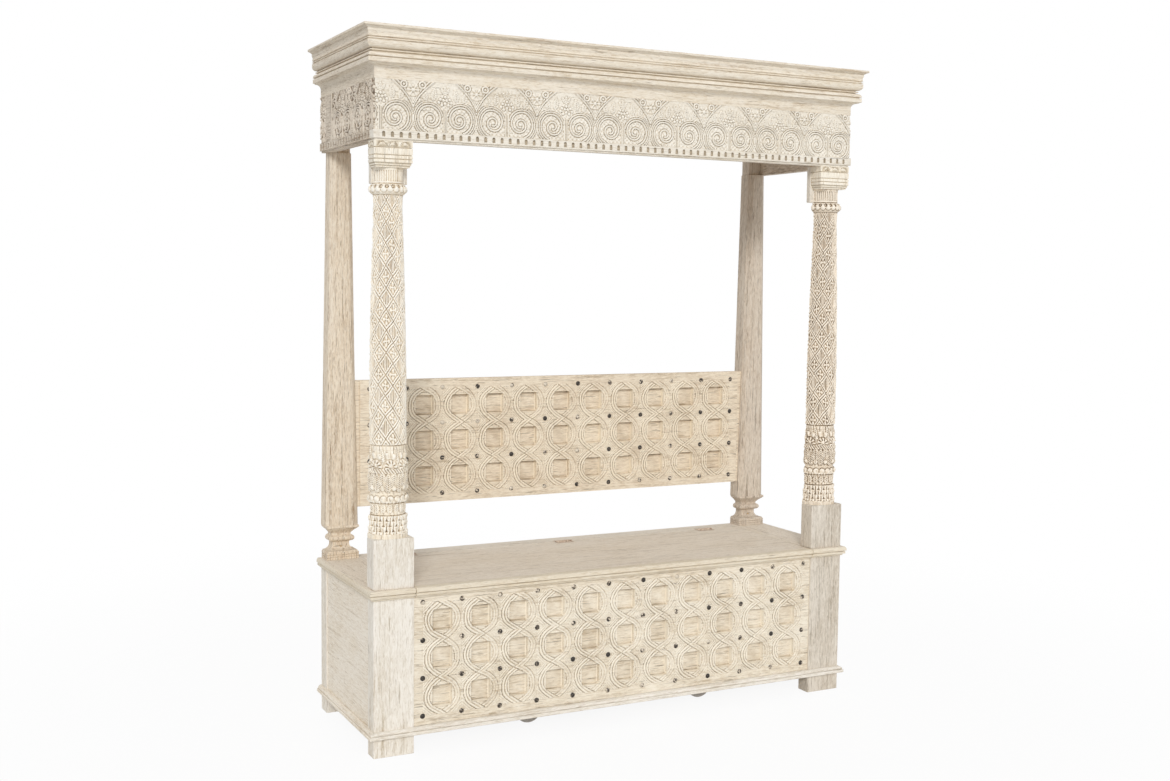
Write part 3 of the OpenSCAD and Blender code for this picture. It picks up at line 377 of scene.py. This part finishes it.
def carve_panel(node, material, **sizes):
    """Sets the panel's own face back a little and lays the carved sheets over it."""
    board = eased(node, "bench", material, edge=0.5)
    for vertex in board.data.vertices:
        if vertex.co.y < (sizes["face"] + 0.6) * MM:
            vertex.co.y = (sizes["face"] + 3) * MM
    mark_cuts(board.data, [PLAIN_DULL] * len(board.data.vertices))
    rows = math.ceil((STEPS_IN + STEPS_ABOVE) * (ROWS + 2 * PAST))
    for part, first, count in (("left", 0, 6), ("right", 6, 5)):
        sheet(f"{node}_carving_{part}", int((STEPS_IN + STEPS_BESIDE) * (count + PAST)), rows,
              carved_panel(first, count, **sizes), material)


carve_panel("front_panel", cream_panel, face=-232, middle=268, pitch_x=119.6, pitch_z=110,
            half_length=685, low=77.5, high=450.5)

# Iron studs of both carved panels: hand-forged nails with domed heads, driven in between the
# wells. Blackened iron looks nearly black and soft, with dents 3 mm wide; in patches 90 mm
# wide it has gone grey and pale, where lime and rust lie on it in grains of 6 mm.
iron, tree = new_material("blackened_forged_iron")
where = add(tree, "TexCoord").outputs["Object"]
hammered = add(tree, "TexNoise", {"Vector": where, "Scale": 380, "Detail": 3}).outputs["Fac"]
rust = add(tree, "TexNoise", {"Vector": where, "Scale": 11, "Detail": 1}).outputs["Fac"]
crust = add(tree, "TexNoise", {"Vector": where, "Scale": 160, "Detail": 2}).outputs["Fac"]
both = add(tree, "Math", {0: rust, 1: crust}, operation="ADD").outputs["Value"]
caked = add(tree, "MapRange", {"Value": both, "From Min": 0.8, "From Max": 1.25})
skin = add(tree, "ValToRGB", {"Fac": caked.outputs["Result"]})
blend_stops(skin, (0.30, "#3b3733"), (0.52, "#5f564d"), (0.62, "#9d9080"), (0.74, "#d2c8b8"))
dull = add(tree, "MapRange", {"Value": rust, "To Min": 0.38, "To Max": 0.72})
beaten = add(tree, "Bump", {"Height": hammered, "Strength": 0.4, "Distance": 0.4 * MM})
shader = add(tree, "BsdfPrincipled", {
    "Base Color": skin.outputs["Color"], "Metallic": 0.5, "Roughness": dull.outputs["Result"],
    "Normal": beaten.outputs["Normal"]})
add(tree, "OutputMaterial", {"Surface": shader.outputs["BSDF"]})


def refinish(material, *nodes):
    """Gives CAD nodes whose shape is right a better material."""
    for node in nodes:
        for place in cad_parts[node].material_slots:
            place.material = material


refinish(iron, "front_panel_studs", "back_panel_studs")

# Chest back, bottom boards, and the bearers and battens of the seat: sawn boards in grooves,
# or glued on from inside. Raw mango is browner than the limed faces, with dark brown streaks.
raw_mango = limed_mango("sawn_mango", "X", streak="#9c7a50", wood="#c6a77c", lime="#d9c19b",
                        cover=0.3)
refinish(raw_mango, "chest_back", "bottom_boards", "lid_bearer_left", "lid_bearer_right",
         "lid_bearer_rear", "lid_battens")
# The bearers under the bottom boards are painted grey-lilac, as they look in their shadow:
# painted shade
shade_grey_mango = limed_mango("shade_grey_mango", "Y", streak="#8f8983", wood="#b9b3ac",
                           lime="#cdc8c1", cover=0.3)
refinish(shade_grey_mango, "floor_bearer_left", "floor_bearer_right")

# Base moulding: planed strips with a rounded nose, mitred at the front corners and glued on.
# They are limed like the boards behind them.
cream_along = limed_mango("cream_limed_mango_along", "X", **cream)
eased("base_moulding_front", "bench", cream_along, edge=0.6)
for side in ("left", "right"):
    eased("base_moulding_" + side, "bench", lit_cream_across, edge=0.6)

# Seat lid and rear rail: glued boards, worn greyer than the rest where people sit.
# A planed strip with the moulded edge closes the lid's front.
seat_tones = {"streak": "#b7a791", "wood": "#e4d7c4", "lime": "#f1e8db", "crack": "#9f8f7a"}
seat_grey = limed_mango("grey_limed_mango_seat", "X", **seat_tones, cover=0.35)
# The strip's edge has kept its lime in the grooves and shows yellower than the seat
nosing_cream = limed_mango("cream_limed_mango_nosing", "X", streak="#c6b394", wood="#ddcfb7",
                           lime="#ebe2d0")
eased("seat_rear_rail", "bench", seat_grey, edge=1)
eased("lid_panel", "lid", seat_grey, edge=1)
eased("lid_nosing", "lid", nosing_cream, edge=0.6)

# Seat ends: short boards fixed on the posts, worn grey on top like the lid.
# Their moulded edges are as cream as the lid's front strip.
seat_grey_end = limed_mango("grey_limed_mango_seat_end", "Y", **seat_tones, cover=0.35)
for node in ("seat_end_left", "seat_end_right"):
    end = eased(node, "bench", nosing_cream, edge=0.6)
    end.data.materials.append(seat_grey_end)
    for face in end.data.polygons:
        face.material_index = int(face.normal.z > 0.9)

# Butt hinges: three small iron ones, let in flush along the seam, with countersunk screws.
# They were limed over with the wood, so the iron shows brown only in spots about 7 mm wide,
# where the matt paste has worn off.
washed_iron, tree = new_material("lime_washed_iron")
where = add(tree, "TexCoord").outputs["Object"]
wear = add(tree, "TexNoise", {"Vector": where, "Scale": 140, "Detail": 4}).outputs["Fac"]
wash = add(tree, "ValToRGB", {"Fac": wear})
blend_stops(wash, (0.36, "#8d7766"), (0.50, "#c9b19a"), (0.66, "#dccdb9"))
caked = add(tree, "MapRange", {"Value": wear, "To Min": 0.5, "To Max": 0.85})
lumps = add(tree, "Bump", {"Height": wear, "Strength": 0.3, "Distance": 0.4 * MM})
shader = add(tree, "BsdfPrincipled", {
    "Base Color": wash.outputs["Color"], "Roughness": caked.outputs["Result"],
    "Normal": lumps.outputs["Normal"], "IOR": 1.5})
add(tree, "OutputMaterial", {"Surface": shader.outputs["BSDF"]})
refinish(washed_iron, "hinge_rail_leaves", "hinge_lid_leaves", "hinge_pins", "hinge_rail_screws",
         "hinge_lid_screws")

# Pedestal blocks: plain, sawn from thick plank, pegged to the seat ends under the columns.
# They are limed like the posts; the right one has the right posts' darker copy, as painted shade.
eased("pedestal_block_left", "bench", cream_upright, edge=2.5)
eased("pedestal_block_right", "bench", shaded_upright, edge=2.5)

# Front columns: half-round shafts carved all over, flat at the back, pegged at both ends.
# Low down they have bands of leaves between rings, then a lattice with a flower in each
# diamond, a ring of beads and a fluted neck. The carving is heights of a formula on a sheet.
cream_carved = limed_mango("cream_limed_mango_carved", "Z", streak="#bfa888", wood="#f3e5cd",
                           lime="#fffaef", crack="#745e47", cover=0.35, carved=True)
# The right column is a darker copy, as painted shade, and its hollows take more dirt and painted
# shade
shaded_carved = limed_mango("shaded_limed_mango_carved", "Z", streak="#957c5d", wood="#ebdac2",
                          lime="#fcf2e2", crack="#4a3826", cover=0.3, carved=True)
COLUMN_X, COLUMN_Y = 745.5, -179
SHAFT_LOW, SHAFT_HIGH = 622, 1650
SHAFT_STEPS, SHAFT_ROWS = 114, 620
SHAFT_RADIUS = 57
CUT = 5
# Height and radius of each ring and hollow of the shaft
SHAFT_PROFILE = (
    (622, 58), (632, 58), (640, 56), (690, 55), (698, 53), (714, 53), (720, 57), (743, 58.5),
    (749, 54), (755, 57), (800, 57.5), (832, 56.5), (850, 54), (1072, 54), (1306, 49.5),
    (1548, 42), (1573, 43), (1580, 51), (1583, 53), (1603, 53), (1607, 43), (1628, 42),
    (1650, 43.5))
# Heights between which each band of the carving lies
PLAIN_FOOT, PETALS, NECK_LEAVES, KNOBS = 634, 684, (694, 720), (719, 746)
BROAD_LEAVES, TWIST, FANS = (750, 806), (805, 819), (819, 884)
LATTICE, BEADS, FLUTES = (884, 1574), (1577, 1607), (1612, 1642)


def within(z, limits):
    """Whether each place lies between two heights."""
    return (z > limits[0]) & (z < limits[1])


def leaf(h, v, width, length, height):
    """Height of a pointed leaf that stands on the origin, with a midrib and slanting veins."""
    t = np.clip(v / length, 0, 1)
    half = 0.5 * width * np.sin(math.pi * t ** 0.75) + 1e-6
    body = np.sqrt(np.clip(1 - (h / half) ** 2, 0, 1))
    veins = 0.78 + 0.22 * np.cos(2 * math.pi * (v - 0.7 * np.abs(h)) / 6)
    rib = 1 - 0.35 * np.exp(-(h / 1.2) ** 2)
    return np.where((v > 0) & (v < length), height * body * veins * rib, 0)


def shaft_relief(angle, z):
    """Heights of the column's carving, from 0 in the ground to CUT at the old surface."""
    around = angle + 1.6 * np.sin(z / 71)
    h = around * math.pi / 180 * SHAFT_RADIUS
    ground = 0.2 + 1.3 * np.abs(np.sin(h / 3.6 + 0.8 * np.sin(z / 7)) * np.sin(z / 3.9))
    height = ground
    # Four rows of overlapping petals at the foot, each row half a petal further round
    for row in range(4):
        low = PETALS - 15 * row
        across = np.mod(h + 10 * (row % 2), 20) - 10
        inside = 1 - (across / 10) ** 2 - (np.clip(low - z, 0, 17) / 17) ** 2
        swell = 0.45 + 0.75 * np.sqrt(np.clip(inside, 0, 1))
        petal = np.where(inside > 0.12, CUT * swell, 0)
        petal = petal - np.where((np.abs(across) < 1.3) & (petal > 0), 2, 0)
        height = np.where((z > low - 17) & (z <= low + 2), petal, height)
    # Tall leaves of the neck above them, and a swelling of knobs and leaves
    tall = leaf(np.mod(h, 22) - 11, z - 692, 21, 31, CUT)
    height = np.where(within(z, NECK_LEAVES), np.maximum(tall, ground), height)
    knobs = np.maximum(dome(np.mod(h, 21) - 10.5, z - 732, 10.5, 1.15 * CUT),
                       dome(np.mod(h + 10.5, 21) - 10.5, z - 726, 5, CUT))
    height = np.where(within(z, KNOBS), knobs, height)
    # Broad leaves with flowers between, then a twisted cord
    broad = np.maximum(leaf(np.mod(h, 34) - 17, z - 752, 33, 56, 1.2 * CUT),
                       leaf(np.mod(h + 17, 34) - 17, 808 - z, 30, 48, CUT))
    broad = np.maximum(broad, dome(np.mod(h + 17, 34) - 17, z - 764, 8, 1.2 * CUT))
    height = np.where(within(z, BROAD_LEAVES), np.maximum(broad, ground), height)
    twist = 0.9 * CUT * np.abs(np.cos(math.pi * (h + 0.8 * z) / 9))
    height = np.where(within(z, TWIST), twist, height)
    # A row of fans, each with a boss, and leaves between them
    fan_h, fan_z = np.mod(h + 0.15 * z, 46) - 23, z - 824
    fan_r, fan_turn = np.hypot(fan_h, fan_z), np.arctan2(fan_z, fan_h)
    petals = 0.55 + 0.45 * np.cos(9 * fan_turn + 3 * (fan_r > 22))
    fan = np.where(fan_r < 44, ridge(np.mod(fan_r, 21) - 10.5, 19, 1.2 * CUT) * petals, 0)
    fan = np.maximum(fan, dome(fan_h, fan_z - 4, 7, 1.2 * CUT))
    fan = np.maximum(fan, leaf(np.mod(h + 0.15 * z + 23, 46) - 23, z - 832, 17, 52, CUT))
    height = np.where(within(z, FANS), np.maximum(fan, ground), height)
    # Lattice with a flower or hatching in each diamond, 46 mm wide and 60 mm high
    wave = z + 2.5 * np.sin(h / 17) + 2 * np.sin(z / 37 + h / 9)
    first, second = h / 46 + wave / 60, h / 46 - wave / 60
    off_first, off_second = first - np.round(first), second - np.round(second)
    edge = 36.5 * (0.5 - np.maximum(np.abs(off_first), np.abs(off_second)))
    lattice = ridge(edge - 3.4, 5.4, CUT)
    x, y = (off_first + off_second) / 2 * 46, (off_first - off_second) / 2 * 60
    radius, bearing = np.hypot(x, 0.8 * y), np.arctan2(0.8 * y, x)
    flower = (0.9 * CUT * np.sqrt(np.clip(1 - (radius / 14.5) ** 2, 0, 1))
              * (0.6 + 0.4 * np.cos(4 * bearing)))
    flower = np.maximum(flower, dome(x, y, 3.6, CUT))
    hatch = np.where(radius < 14.5, 0.85 * CUT * np.abs(np.cos(math.pi * x / 5.2)), 0)
    row = np.round(first) - np.round(second)
    motif = np.where(np.mod(row, 3) == 1, hatch, flower)
    height = np.where(within(z, LATTICE), np.maximum(np.maximum(lattice, motif), ground), height)
    # Beads with a hole above each gap, and the fluted neck
    beads = np.maximum(dome(np.mod(angle, 20) * 0.94 - 9.4, z - 1591, 9.6, 1.5 * CUT), 0.45 * CUT)
    holes = dome(np.mod(angle + 10, 20) * 0.94 - 9.4, z - 1598, 5.6, CUT) > 0
    height = np.where(within(z, BEADS), np.where(holes, -2, beads), height)
    flutes = CUT * (0.6 + 0.4 * np.abs(np.cos(math.pi * angle / 9)))
    height = np.where(z > BEADS[1], np.where(within(z, FLUTES), flutes, CUT), height)
    # The leaves and petals low down are cut unevenly
    uneven = 1 + 0.4 * np.sin(h / 6.1 + z / 14) * np.sin(z / 5.3 - h / 17)
    height = np.where(z < LATTICE[0], height * uneven, height)
    return np.where(z < PLAIN_FOOT, CUT, height)


def carved_column(side):
    """Places of the left column's shell, or the right one's, from the pedestal to the capital."""
    def place(u, v, rim):
        # The first and last places lie on the flat back, which is plain
        angle = np.clip(180 * (u * SHAFT_STEPS - 1) / (SHAFT_STEPS - 2), 0, 180) - 90
        back = np.abs(u - 0.5) * SHAFT_STEPS > SHAFT_STEPS / 2 - 0.5
        z = SHAFT_LOW + (SHAFT_HIGH - SHAFT_LOW) * v
        height = shaft_relief(angle if side < 0 else angle + 11, z)
        # The shell's rim lies on the column's axis, which closes its ends and its flat back
        surface = np.interp(z, *zip(*SHAFT_PROFILE)) - CUT + height - 1.5 * back
        radius = np.where(rim, 0, surface)
        bearing = np.radians(angle)
        points = np.stack([side * COLUMN_X + radius * np.sin(bearing),
                           COLUMN_Y - radius * np.cos(bearing), z], 1)
        dull = np.where(z < LATTICE[0], 0.42, 0.33) + 0.05 * np.sin(z / 23 + angle / 31)
        return points, height, np.where(back | rim, -0.36, dull)
    return place


# Each column's finish, and how much dirt and painted shade its hollows take
for side, name, finish, dirt in ((-1, "left", cream_carved, 0.42),
                                 (1, "right", shaded_carved, 0.72)):
    shaft = sheet("column_carving_" + name, SHAFT_STEPS, SHAFT_ROWS, carved_column(side), finish,
                  dirt=dirt)
    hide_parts("column_front_" + name)

# Capitals: square blocks with stepped fillets, pegged on the columns, and a plain board behind
# each. Their cream is painted lighter than the posts' to offset the shade they stand in, and
# painted shade darkens where two faces meet in a hollow.
lit_capital_cream = limed_mango("lit_limed_mango_capital", "Z", streak="#c4b294", wood="#f0e4cf",
                            lime="#fdf7ea", crack="#77654f", carved=True)
for side in ("left", "right"):
    block = eased("capital_" + side, "bench", lit_capital_cream, edge=0.5).data
    eased("capital_backing_" + side, "bench", cream_upright, edge=1.5)
    faces_at = {}
    for face in block.polygons:
        for pair in face.edge_keys:
            faces_at.setdefault(pair, []).append(face)
    cut = np.full(len(block.vertices), 0.3)
    # Edges where two faces meet in a hollow are marked dark: painted shade
    for pair, faces in faces_at.items():
        if len(faces) < 2:
            continue
        towards = faces[1].center - faces[0].center
        if towards.dot(faces[0].normal) > 0.3 * MM:
            cut[list(pair)] = 0.9
    mark_cuts(block, cut)

# Rear columns: plain tapered shafts on moulded bases, pegged between the seat and the canopy.
# They are darker than the front, with long streaks, open grain and little lime.
tan_upright = limed_mango("tan_limed_mango_upright", "Z", streak="#937759", wood="#dfcdb4",
                          lime="#f1e7d6", crack="#735739", cover=0.3, bump=0.9)
# The right one is a darker copy of the tan, as painted shade
shaded_tan = limed_mango("shaded_tan_limed_mango_upright", "Z", streak="#8f7b65", wood="#ccbba7",
                       lime="#e2d8c9", crack="#665140", cover=0.3, bump=0.9)
eased("column_rear_left", "bench", tan_upright, edge=1.5)
eased("column_rear_right", "bench", shaded_tan, edge=1.5)

# Back panel: carved as the chest's front is, on a board hung on dowels between the rear
# columns. Its lime is thinner, so it shows warmer.
warm_panel = limed_mango("warm_limed_mango_panel", "X", streak="#b09a7d", wood="#dfceb6",
                         lime="#f6ebd6", crack="#665440", cover=0.35, carved=True)
carve_panel("back_panel", warm_panel, face=230, middle=834.5, pitch_x=120.4, pitch_z=112.8,
            half_length=703, low=638.5, high=1030.5)

# Frieze boards: a row of arches, each with two facing scrolls, over a band of small slots.
# The boards and the slotted band are in the CAD model, the carving is laid on as a fine sheet.
# Painted shade darkens the slots and the hollows between arches, most of all on the sides, whose
# boards and carving are a darker copy of the cream: painted shade too.
frieze_cream = limed_mango("cream_limed_mango_frieze", "X", streak="#c6b79f", wood="#e7ddcc",
                           lime="#f6f0e4", crack="#7f705a", cover=0.45, carved=True)
shaded_frieze = limed_mango("shaded_limed_mango_frieze", "Y", streak="#857059", wood="#c4b49f",
                          lime="#ece2d3", crack="#584634", cover=0.3, carved=True)
# The boards' outer faces and the flat back, the slots' heights, and the sheets' heights
FRIEZE_X, FRIEZE_Y, BACK_Y = 799, -231, 273
SLOTS = (1729, 1748.5)
FRIEZE_LOW, FRIEZE_HIGH = 1750.5, 1887
FRONT_STEPS, SIDE_STEPS, FRIEZE_ROWS = 960, 300, 92
for side, material in (("front", frieze_cream), ("left", shaded_frieze), ("right", shaded_frieze)):
    board = eased("frieze_" + side, "bench", material, edge=0.6)
    corners = np.array([vertex.co for vertex in board.data.vertices]) / MM
    # The slotted band stands out from the board; what lies less than 3 mm out is in a slot, and
    # is marked dark there as painted shade
    out = np.maximum(FRIEZE_Y - 3 - corners[:, 1], np.abs(corners[:, 0]) - (FRIEZE_X + 3))
    in_slot = within(corners[:, 2], SLOTS) & (out < 0)
    mark_cuts(board.data, np.where(in_slot, 0.85, PLAIN_DULL))
# From one arch to the next, the carving's depth, and the places and sizes of its main motifs
ARCH = 187
RELIEF = 5.2
SCROLL_H, SCROLL_V, SCROLL_R = 42, 36, 38
FLOWER_V, FLOWER_R = 112, 20
CURL_H, CURL_V = 27, 126


def nearest(points, h, v):
    """Distance from each place to the nearest point of a curve."""
    squares = (h[:, None] - points[:, 0]) ** 2 + (v[:, None] - points[:, 1]) ** 2
    return np.sqrt(np.min(squares, axis=1))


def frieze_relief(h, v, coarse):
    """Heights of the frieze's carving; h runs from an arch's middle, v from the slotted band."""
    a = np.abs(h)
    height = 2.0 + (coarse * 1.3 * np.sin(h / 2.1 / coarse + 0.8 * np.sin(v / 5))
                    * np.sin(v / 2.3 / coarse))
    # A spray of leaves over each scroll, on a sunk ground
    from_scroll = np.hypot(a - SCROLL_H, v - SCROLL_V)
    height = np.where((from_scroll > 50) & (v > 76), 0.35 * height, height)
    for lean, length in ((30, 20), (52, 28), (75, 34), (98, 38), (121, 36)):
        c, s = math.cos(math.radians(lean)), math.sin(math.radians(lean))
        right, up = a - SCROLL_H - 50 * c, v - SCROLL_V - 50 * s
        spray = leaf(up * c - right * s, right * c + up * s, 19, length, RELIEF)
        height = np.where(spray > 0.8, spray, height)
    # The scroll itself, with two more lines round it, each with its width
    turn = np.linspace(-70, 640, 460)
    reach = np.where(turn < 60, SCROLL_R, SCROLL_R * np.exp(-0.0027 * (turn - 60)))
    lines = []
    for offset, start, stop, width in ((0, -70, 640, 5.4), (6.6, -60, 165, 4.6),
                                       (12.2, -50, 60, 4.2)):
        part = (turn >= start) & (turn <= stop)
        angle = np.radians(turn[part])
        lines.append((np.stack([SCROLL_H + (reach[part] + offset) * np.cos(angle),
                                SCROLL_V + (reach[part] + offset) * np.sin(angle)], 1), width))
    # Three lines that sweep up from between two arches to the middle of this one
    t = np.linspace(0, 1, 90)[:, None]
    for lift in (0, 10, 20):
        foot, bend, tip = (np.array([[place_h, place_v + lift]])
                           for place_h, place_v in ((93.5, 66), (80, 101), (31, 138)))
        lines.append(((1 - t) ** 2 * foot + 2 * t * (1 - t) * bend + t ** 2 * tip, 4.8))
    gap = np.full_like(h, 9.0)
    for line, width in lines:
        far = nearest(line, a, v)
        height = np.maximum(height, ridge(far, width, RELIEF))
        gap = np.minimum(gap, far - width / 2)
    # A cut beside each line, fading out towards the top
    cut = 0.3 + 1.6 * np.clip((v - 95) / 35, 0, 1)
    height = np.where((gap > 0) & (gap < 1.8), cut, height)
    height = np.maximum(height, dome(a - SCROLL_H, v - SCROLL_V, 5.5, RELIEF))
    # A flower between two arches, and a curl beside it
    b = ARCH / 2 - a
    radius, bearing = np.hypot(b, v - FLOWER_V), np.arctan2(v - FLOWER_V, b)
    petals = 0.5 + 0.5 * np.cos(7 * bearing)
    flower = np.sqrt(np.clip(1 - (radius / FLOWER_R) ** 2, 0, 1)) * petals
    height = np.where(radius < FLOWER_R, np.maximum(1.2, RELIEF * flower), height)
    height = np.maximum(height, dome(b, v - FLOWER_V, 6, RELIEF))
    curl = np.hypot(b - CURL_H, v - CURL_V)
    height = np.where(curl < 12, np.maximum(0.5, ridge(curl - 8.5, 6, RELIEF)), height)
    height = np.maximum(height, dome(b - CURL_H, v - CURL_V, 4, RELIEF))
    # Pearls between the two scrolls, with leaves over them and a stem below
    for pearl_h, pearl_v in ((0, 80), (9.5, 76), (18, 83), (4.8, 89), (13.5, 91), (0, 98)):
        pearl = dome(a - pearl_h, v - pearl_v, 5, RELIEF)
        height = np.where(np.hypot(a - pearl_h, v - pearl_v) < 5.6, pearl, height)
    for lean, length in ((0, 28), (36, 26)):
        s, c = math.sin(math.radians(lean)), math.cos(math.radians(lean))
        along, over = a * s + (v - 104) * c, a * c - (v - 104) * s
        height = np.maximum(height, leaf(over, along, 10, length, RELIEF))
    stem = (v < 62) & (a < 6)
    height = np.where(stem, 0.9 * RELIEF * np.abs(np.cos(math.pi * a / 4.4)), height)
    return np.maximum(height, leaf(b, v - 2, 10, 56, RELIEF))


def carved_frieze(corner, along, out, length, first_arch, bar=None, hollow_shade=0, coarse=1):
    """Places of a frieze's sheet from a lower corner, along its board and out from its face.

    A plain bar stands on the sides' boards. The hollows between arches get painted shade, as
    strong as the argument given for it."""
    corner, along, out = (np.array(way, float) for way in (corner, along, out))

    def place(u, v, rim):
        run = u * length
        rise = v * (FRIEZE_HIGH - FRIEZE_LOW)
        h = np.mod(run - first_arch + ARCH / 2, ARCH) - ARCH / 2
        height = frieze_relief(h, rise, coarse)
        if bar:
            height = np.where(np.abs(run - bar) < 36, 0, height)
            height = np.where(np.abs(run - bar) < 30, RELIEF, height)
        level = np.where(rim, -1.5, height)
        points = (corner + run[:, None] * along + level[:, None] * out
                  + rise[:, None] * np.array([0, 0, 1.0]))
        # Painted shade darkens the hollow low down between two arches
        hollow = hollow_shade * np.exp(-((ARCH / 2 - np.abs(h)) / 22) ** 2 - ((rise - 92) / 36) ** 2)
        return points, height, 0.34 + 0.05 * np.sin(run / 41 + rise / 23) + hollow
    return place


side_length = BACK_Y - FRIEZE_Y
sheet("frieze_carving_front", FRONT_STEPS, FRIEZE_ROWS,
      carved_frieze((-FRIEZE_X, FRIEZE_Y, FRIEZE_LOW), (1, 0, 0), (0, -1, 0), 2 * FRIEZE_X,
                    first_arch=15.5), frieze_cream, dirt=0.45)
sheet("frieze_carving_left", SIDE_STEPS, FRIEZE_ROWS,
      carved_frieze((-FRIEZE_X, BACK_Y, FRIEZE_LOW), (0, -1, 0), (-1, 0, 0), side_length,
                    first_arch=411, bar=90, hollow_shade=0.55, coarse=2.1), shaded_frieze, dirt=0.6)
sheet("frieze_carving_right", SIDE_STEPS, FRIEZE_ROWS,
      carved_frieze((FRIEZE_X, FRIEZE_Y, FRIEZE_LOW), (0, 1, 0), (1, 0, 0), side_length,
                    first_arch=93, bar=414, hollow_shade=0.55, coarse=2.1), shaded_frieze, dirt=0.6)

# Cornice: three mitred lengths of a deep moulding that laps over the frieze boards.
# Warmer wood than below it, with less lime and long tan streaks.
tan_along = limed_mango("tan_limed_mango_along", "X", streak="#b8a081", wood="#e6d9c3",
                        lime="#f4ecde", cover=0.4)
# The side lengths are a darker copy of the tan, as painted shade
shaded_tan_across = limed_mango("shaded_tan_limed_mango_across", "Y", streak="#b09c84", wood="#dccfbb",
                         lime="#ece2d1", cover=0.4)
eased("cornice_front", "bench", tan_along, edge=0.5)
for side in ("left", "right"):
    eased("cornice_" + side, "bench", shaded_tan_across, edge=0.5)

# Hidden framing of the canopy, and the pegs and dowels that hold the stack: all are raw mango,
# the boards sawn and the pegs turned.
refinish(raw_mango, "canopy_back_board", "canopy_corner_block_left", "canopy_corner_block_right",
         "roof_boards", "roof_cleats", "pegs_front", "pegs_rear", "back_panel_dowels")

# Studio floor: pale and matt, with no edge in sight because it fades out round the bench.
# It shows nearly white to the camera and keeps the bench's soft shadow.
floor_finish, tree = new_material("studio_floor")
matt = add(tree, "BsdfDiffuse", {"Color": linear("#f4f3f1")})
glow = add(tree, "Emission", {"Color": (1, 1, 1, 1), "Strength": 1.0})
seen = add(tree, "LightPath").outputs["Is Camera Ray"]
share = add(tree, "Math", {0: seen, 1: 0.92}, operation="MULTIPLY").outputs["Value"]
both = add(tree, "MixShader", {"Fac": share, 1: matt.outputs["BSDF"],
                               2: glow.outputs["Emission"]})
spot = add(tree, "TexCoord").outputs["Object"]
away = add(tree, "VectorMath", {0: spot}, operation="LENGTH").outputs["Value"]
fade = add(tree, "MapRange", {"Value": away, "From Min": 1.2, "From Max": 3.2},
           interpolation_type="SMOOTHSTEP").outputs["Result"]
clear = add(tree, "BsdfTransparent")
edge = add(tree, "MixShader", {"Fac": fade, 1: both.outputs["Shader"],
                               2: clear.outputs["BSDF"]})
add(tree, "OutputMaterial", {"Surface": edge.outputs["Shader"]})
bpy.ops.object.select_all(action="DESELECT")
bpy.ops.mesh.primitive_plane_add(size=7, location=(0, 0, 0))
floor = bpy.context.object
floor.name = "studio_floor"
floor.data.materials.append(floor_finish)

# Studio sky: even, slightly cool light on the bench, and plain white behind it for the camera
# and for what shines.
world = bpy.data.worlds.new("studio")
bpy.context.scene.world = world
world.use_nodes = True
tree = world.node_tree
tree.nodes.clear()
path = add(tree, "LightPath").outputs
direct = add(tree, "Math", {0: path["Is Camera Ray"], 1: path["Is Glossy Ray"]},
             operation="ADD")
white = add(tree, "Math", {0: direct.outputs["Value"], 1: path["Is Transmission Ray"]},
            operation="ADD", use_clamp=True)
sky = add(tree, "Background", {"Color": linear("#f3f5f8"), "Strength": 0.66})
backdrop = add(tree, "Background", {"Color": (1, 1, 1, 1), "Strength": 1.0})
choice = add(tree, "MixShader", {"Fac": white.outputs["Value"], 1: sky.outputs["Background"],
                                 2: backdrop.outputs["Background"]})
add(tree, "OutputWorld", {"Surface": choice.outputs["Shader"]})

# Studio lamps: one broad lamp from the front left above, and a weak, very broad one from the
# front right to fill its shadows. Each has the way its light goes, its strength and its spread.
for name, way, strength, spread in (("key", (0.42, 0.8, -0.44), 1.45, 14),
                                    ("fill", (-0.7, 0.7, 0.1), 0.3, 60)):
    lamp = bpy.data.lights.new(name, "SUN")
    lamp.energy = strength
    lamp.angle = math.radians(spread)
    holder = bpy.data.objects.new(name, lamp)
    bpy.context.scene.collection.objects.link(holder)
    holder.matrix_world = Vector(way).to_track_quat("-Z", "Y").to_matrix().to_4x4()

bpy.context.scene.view_settings.view_transform = "Standard"
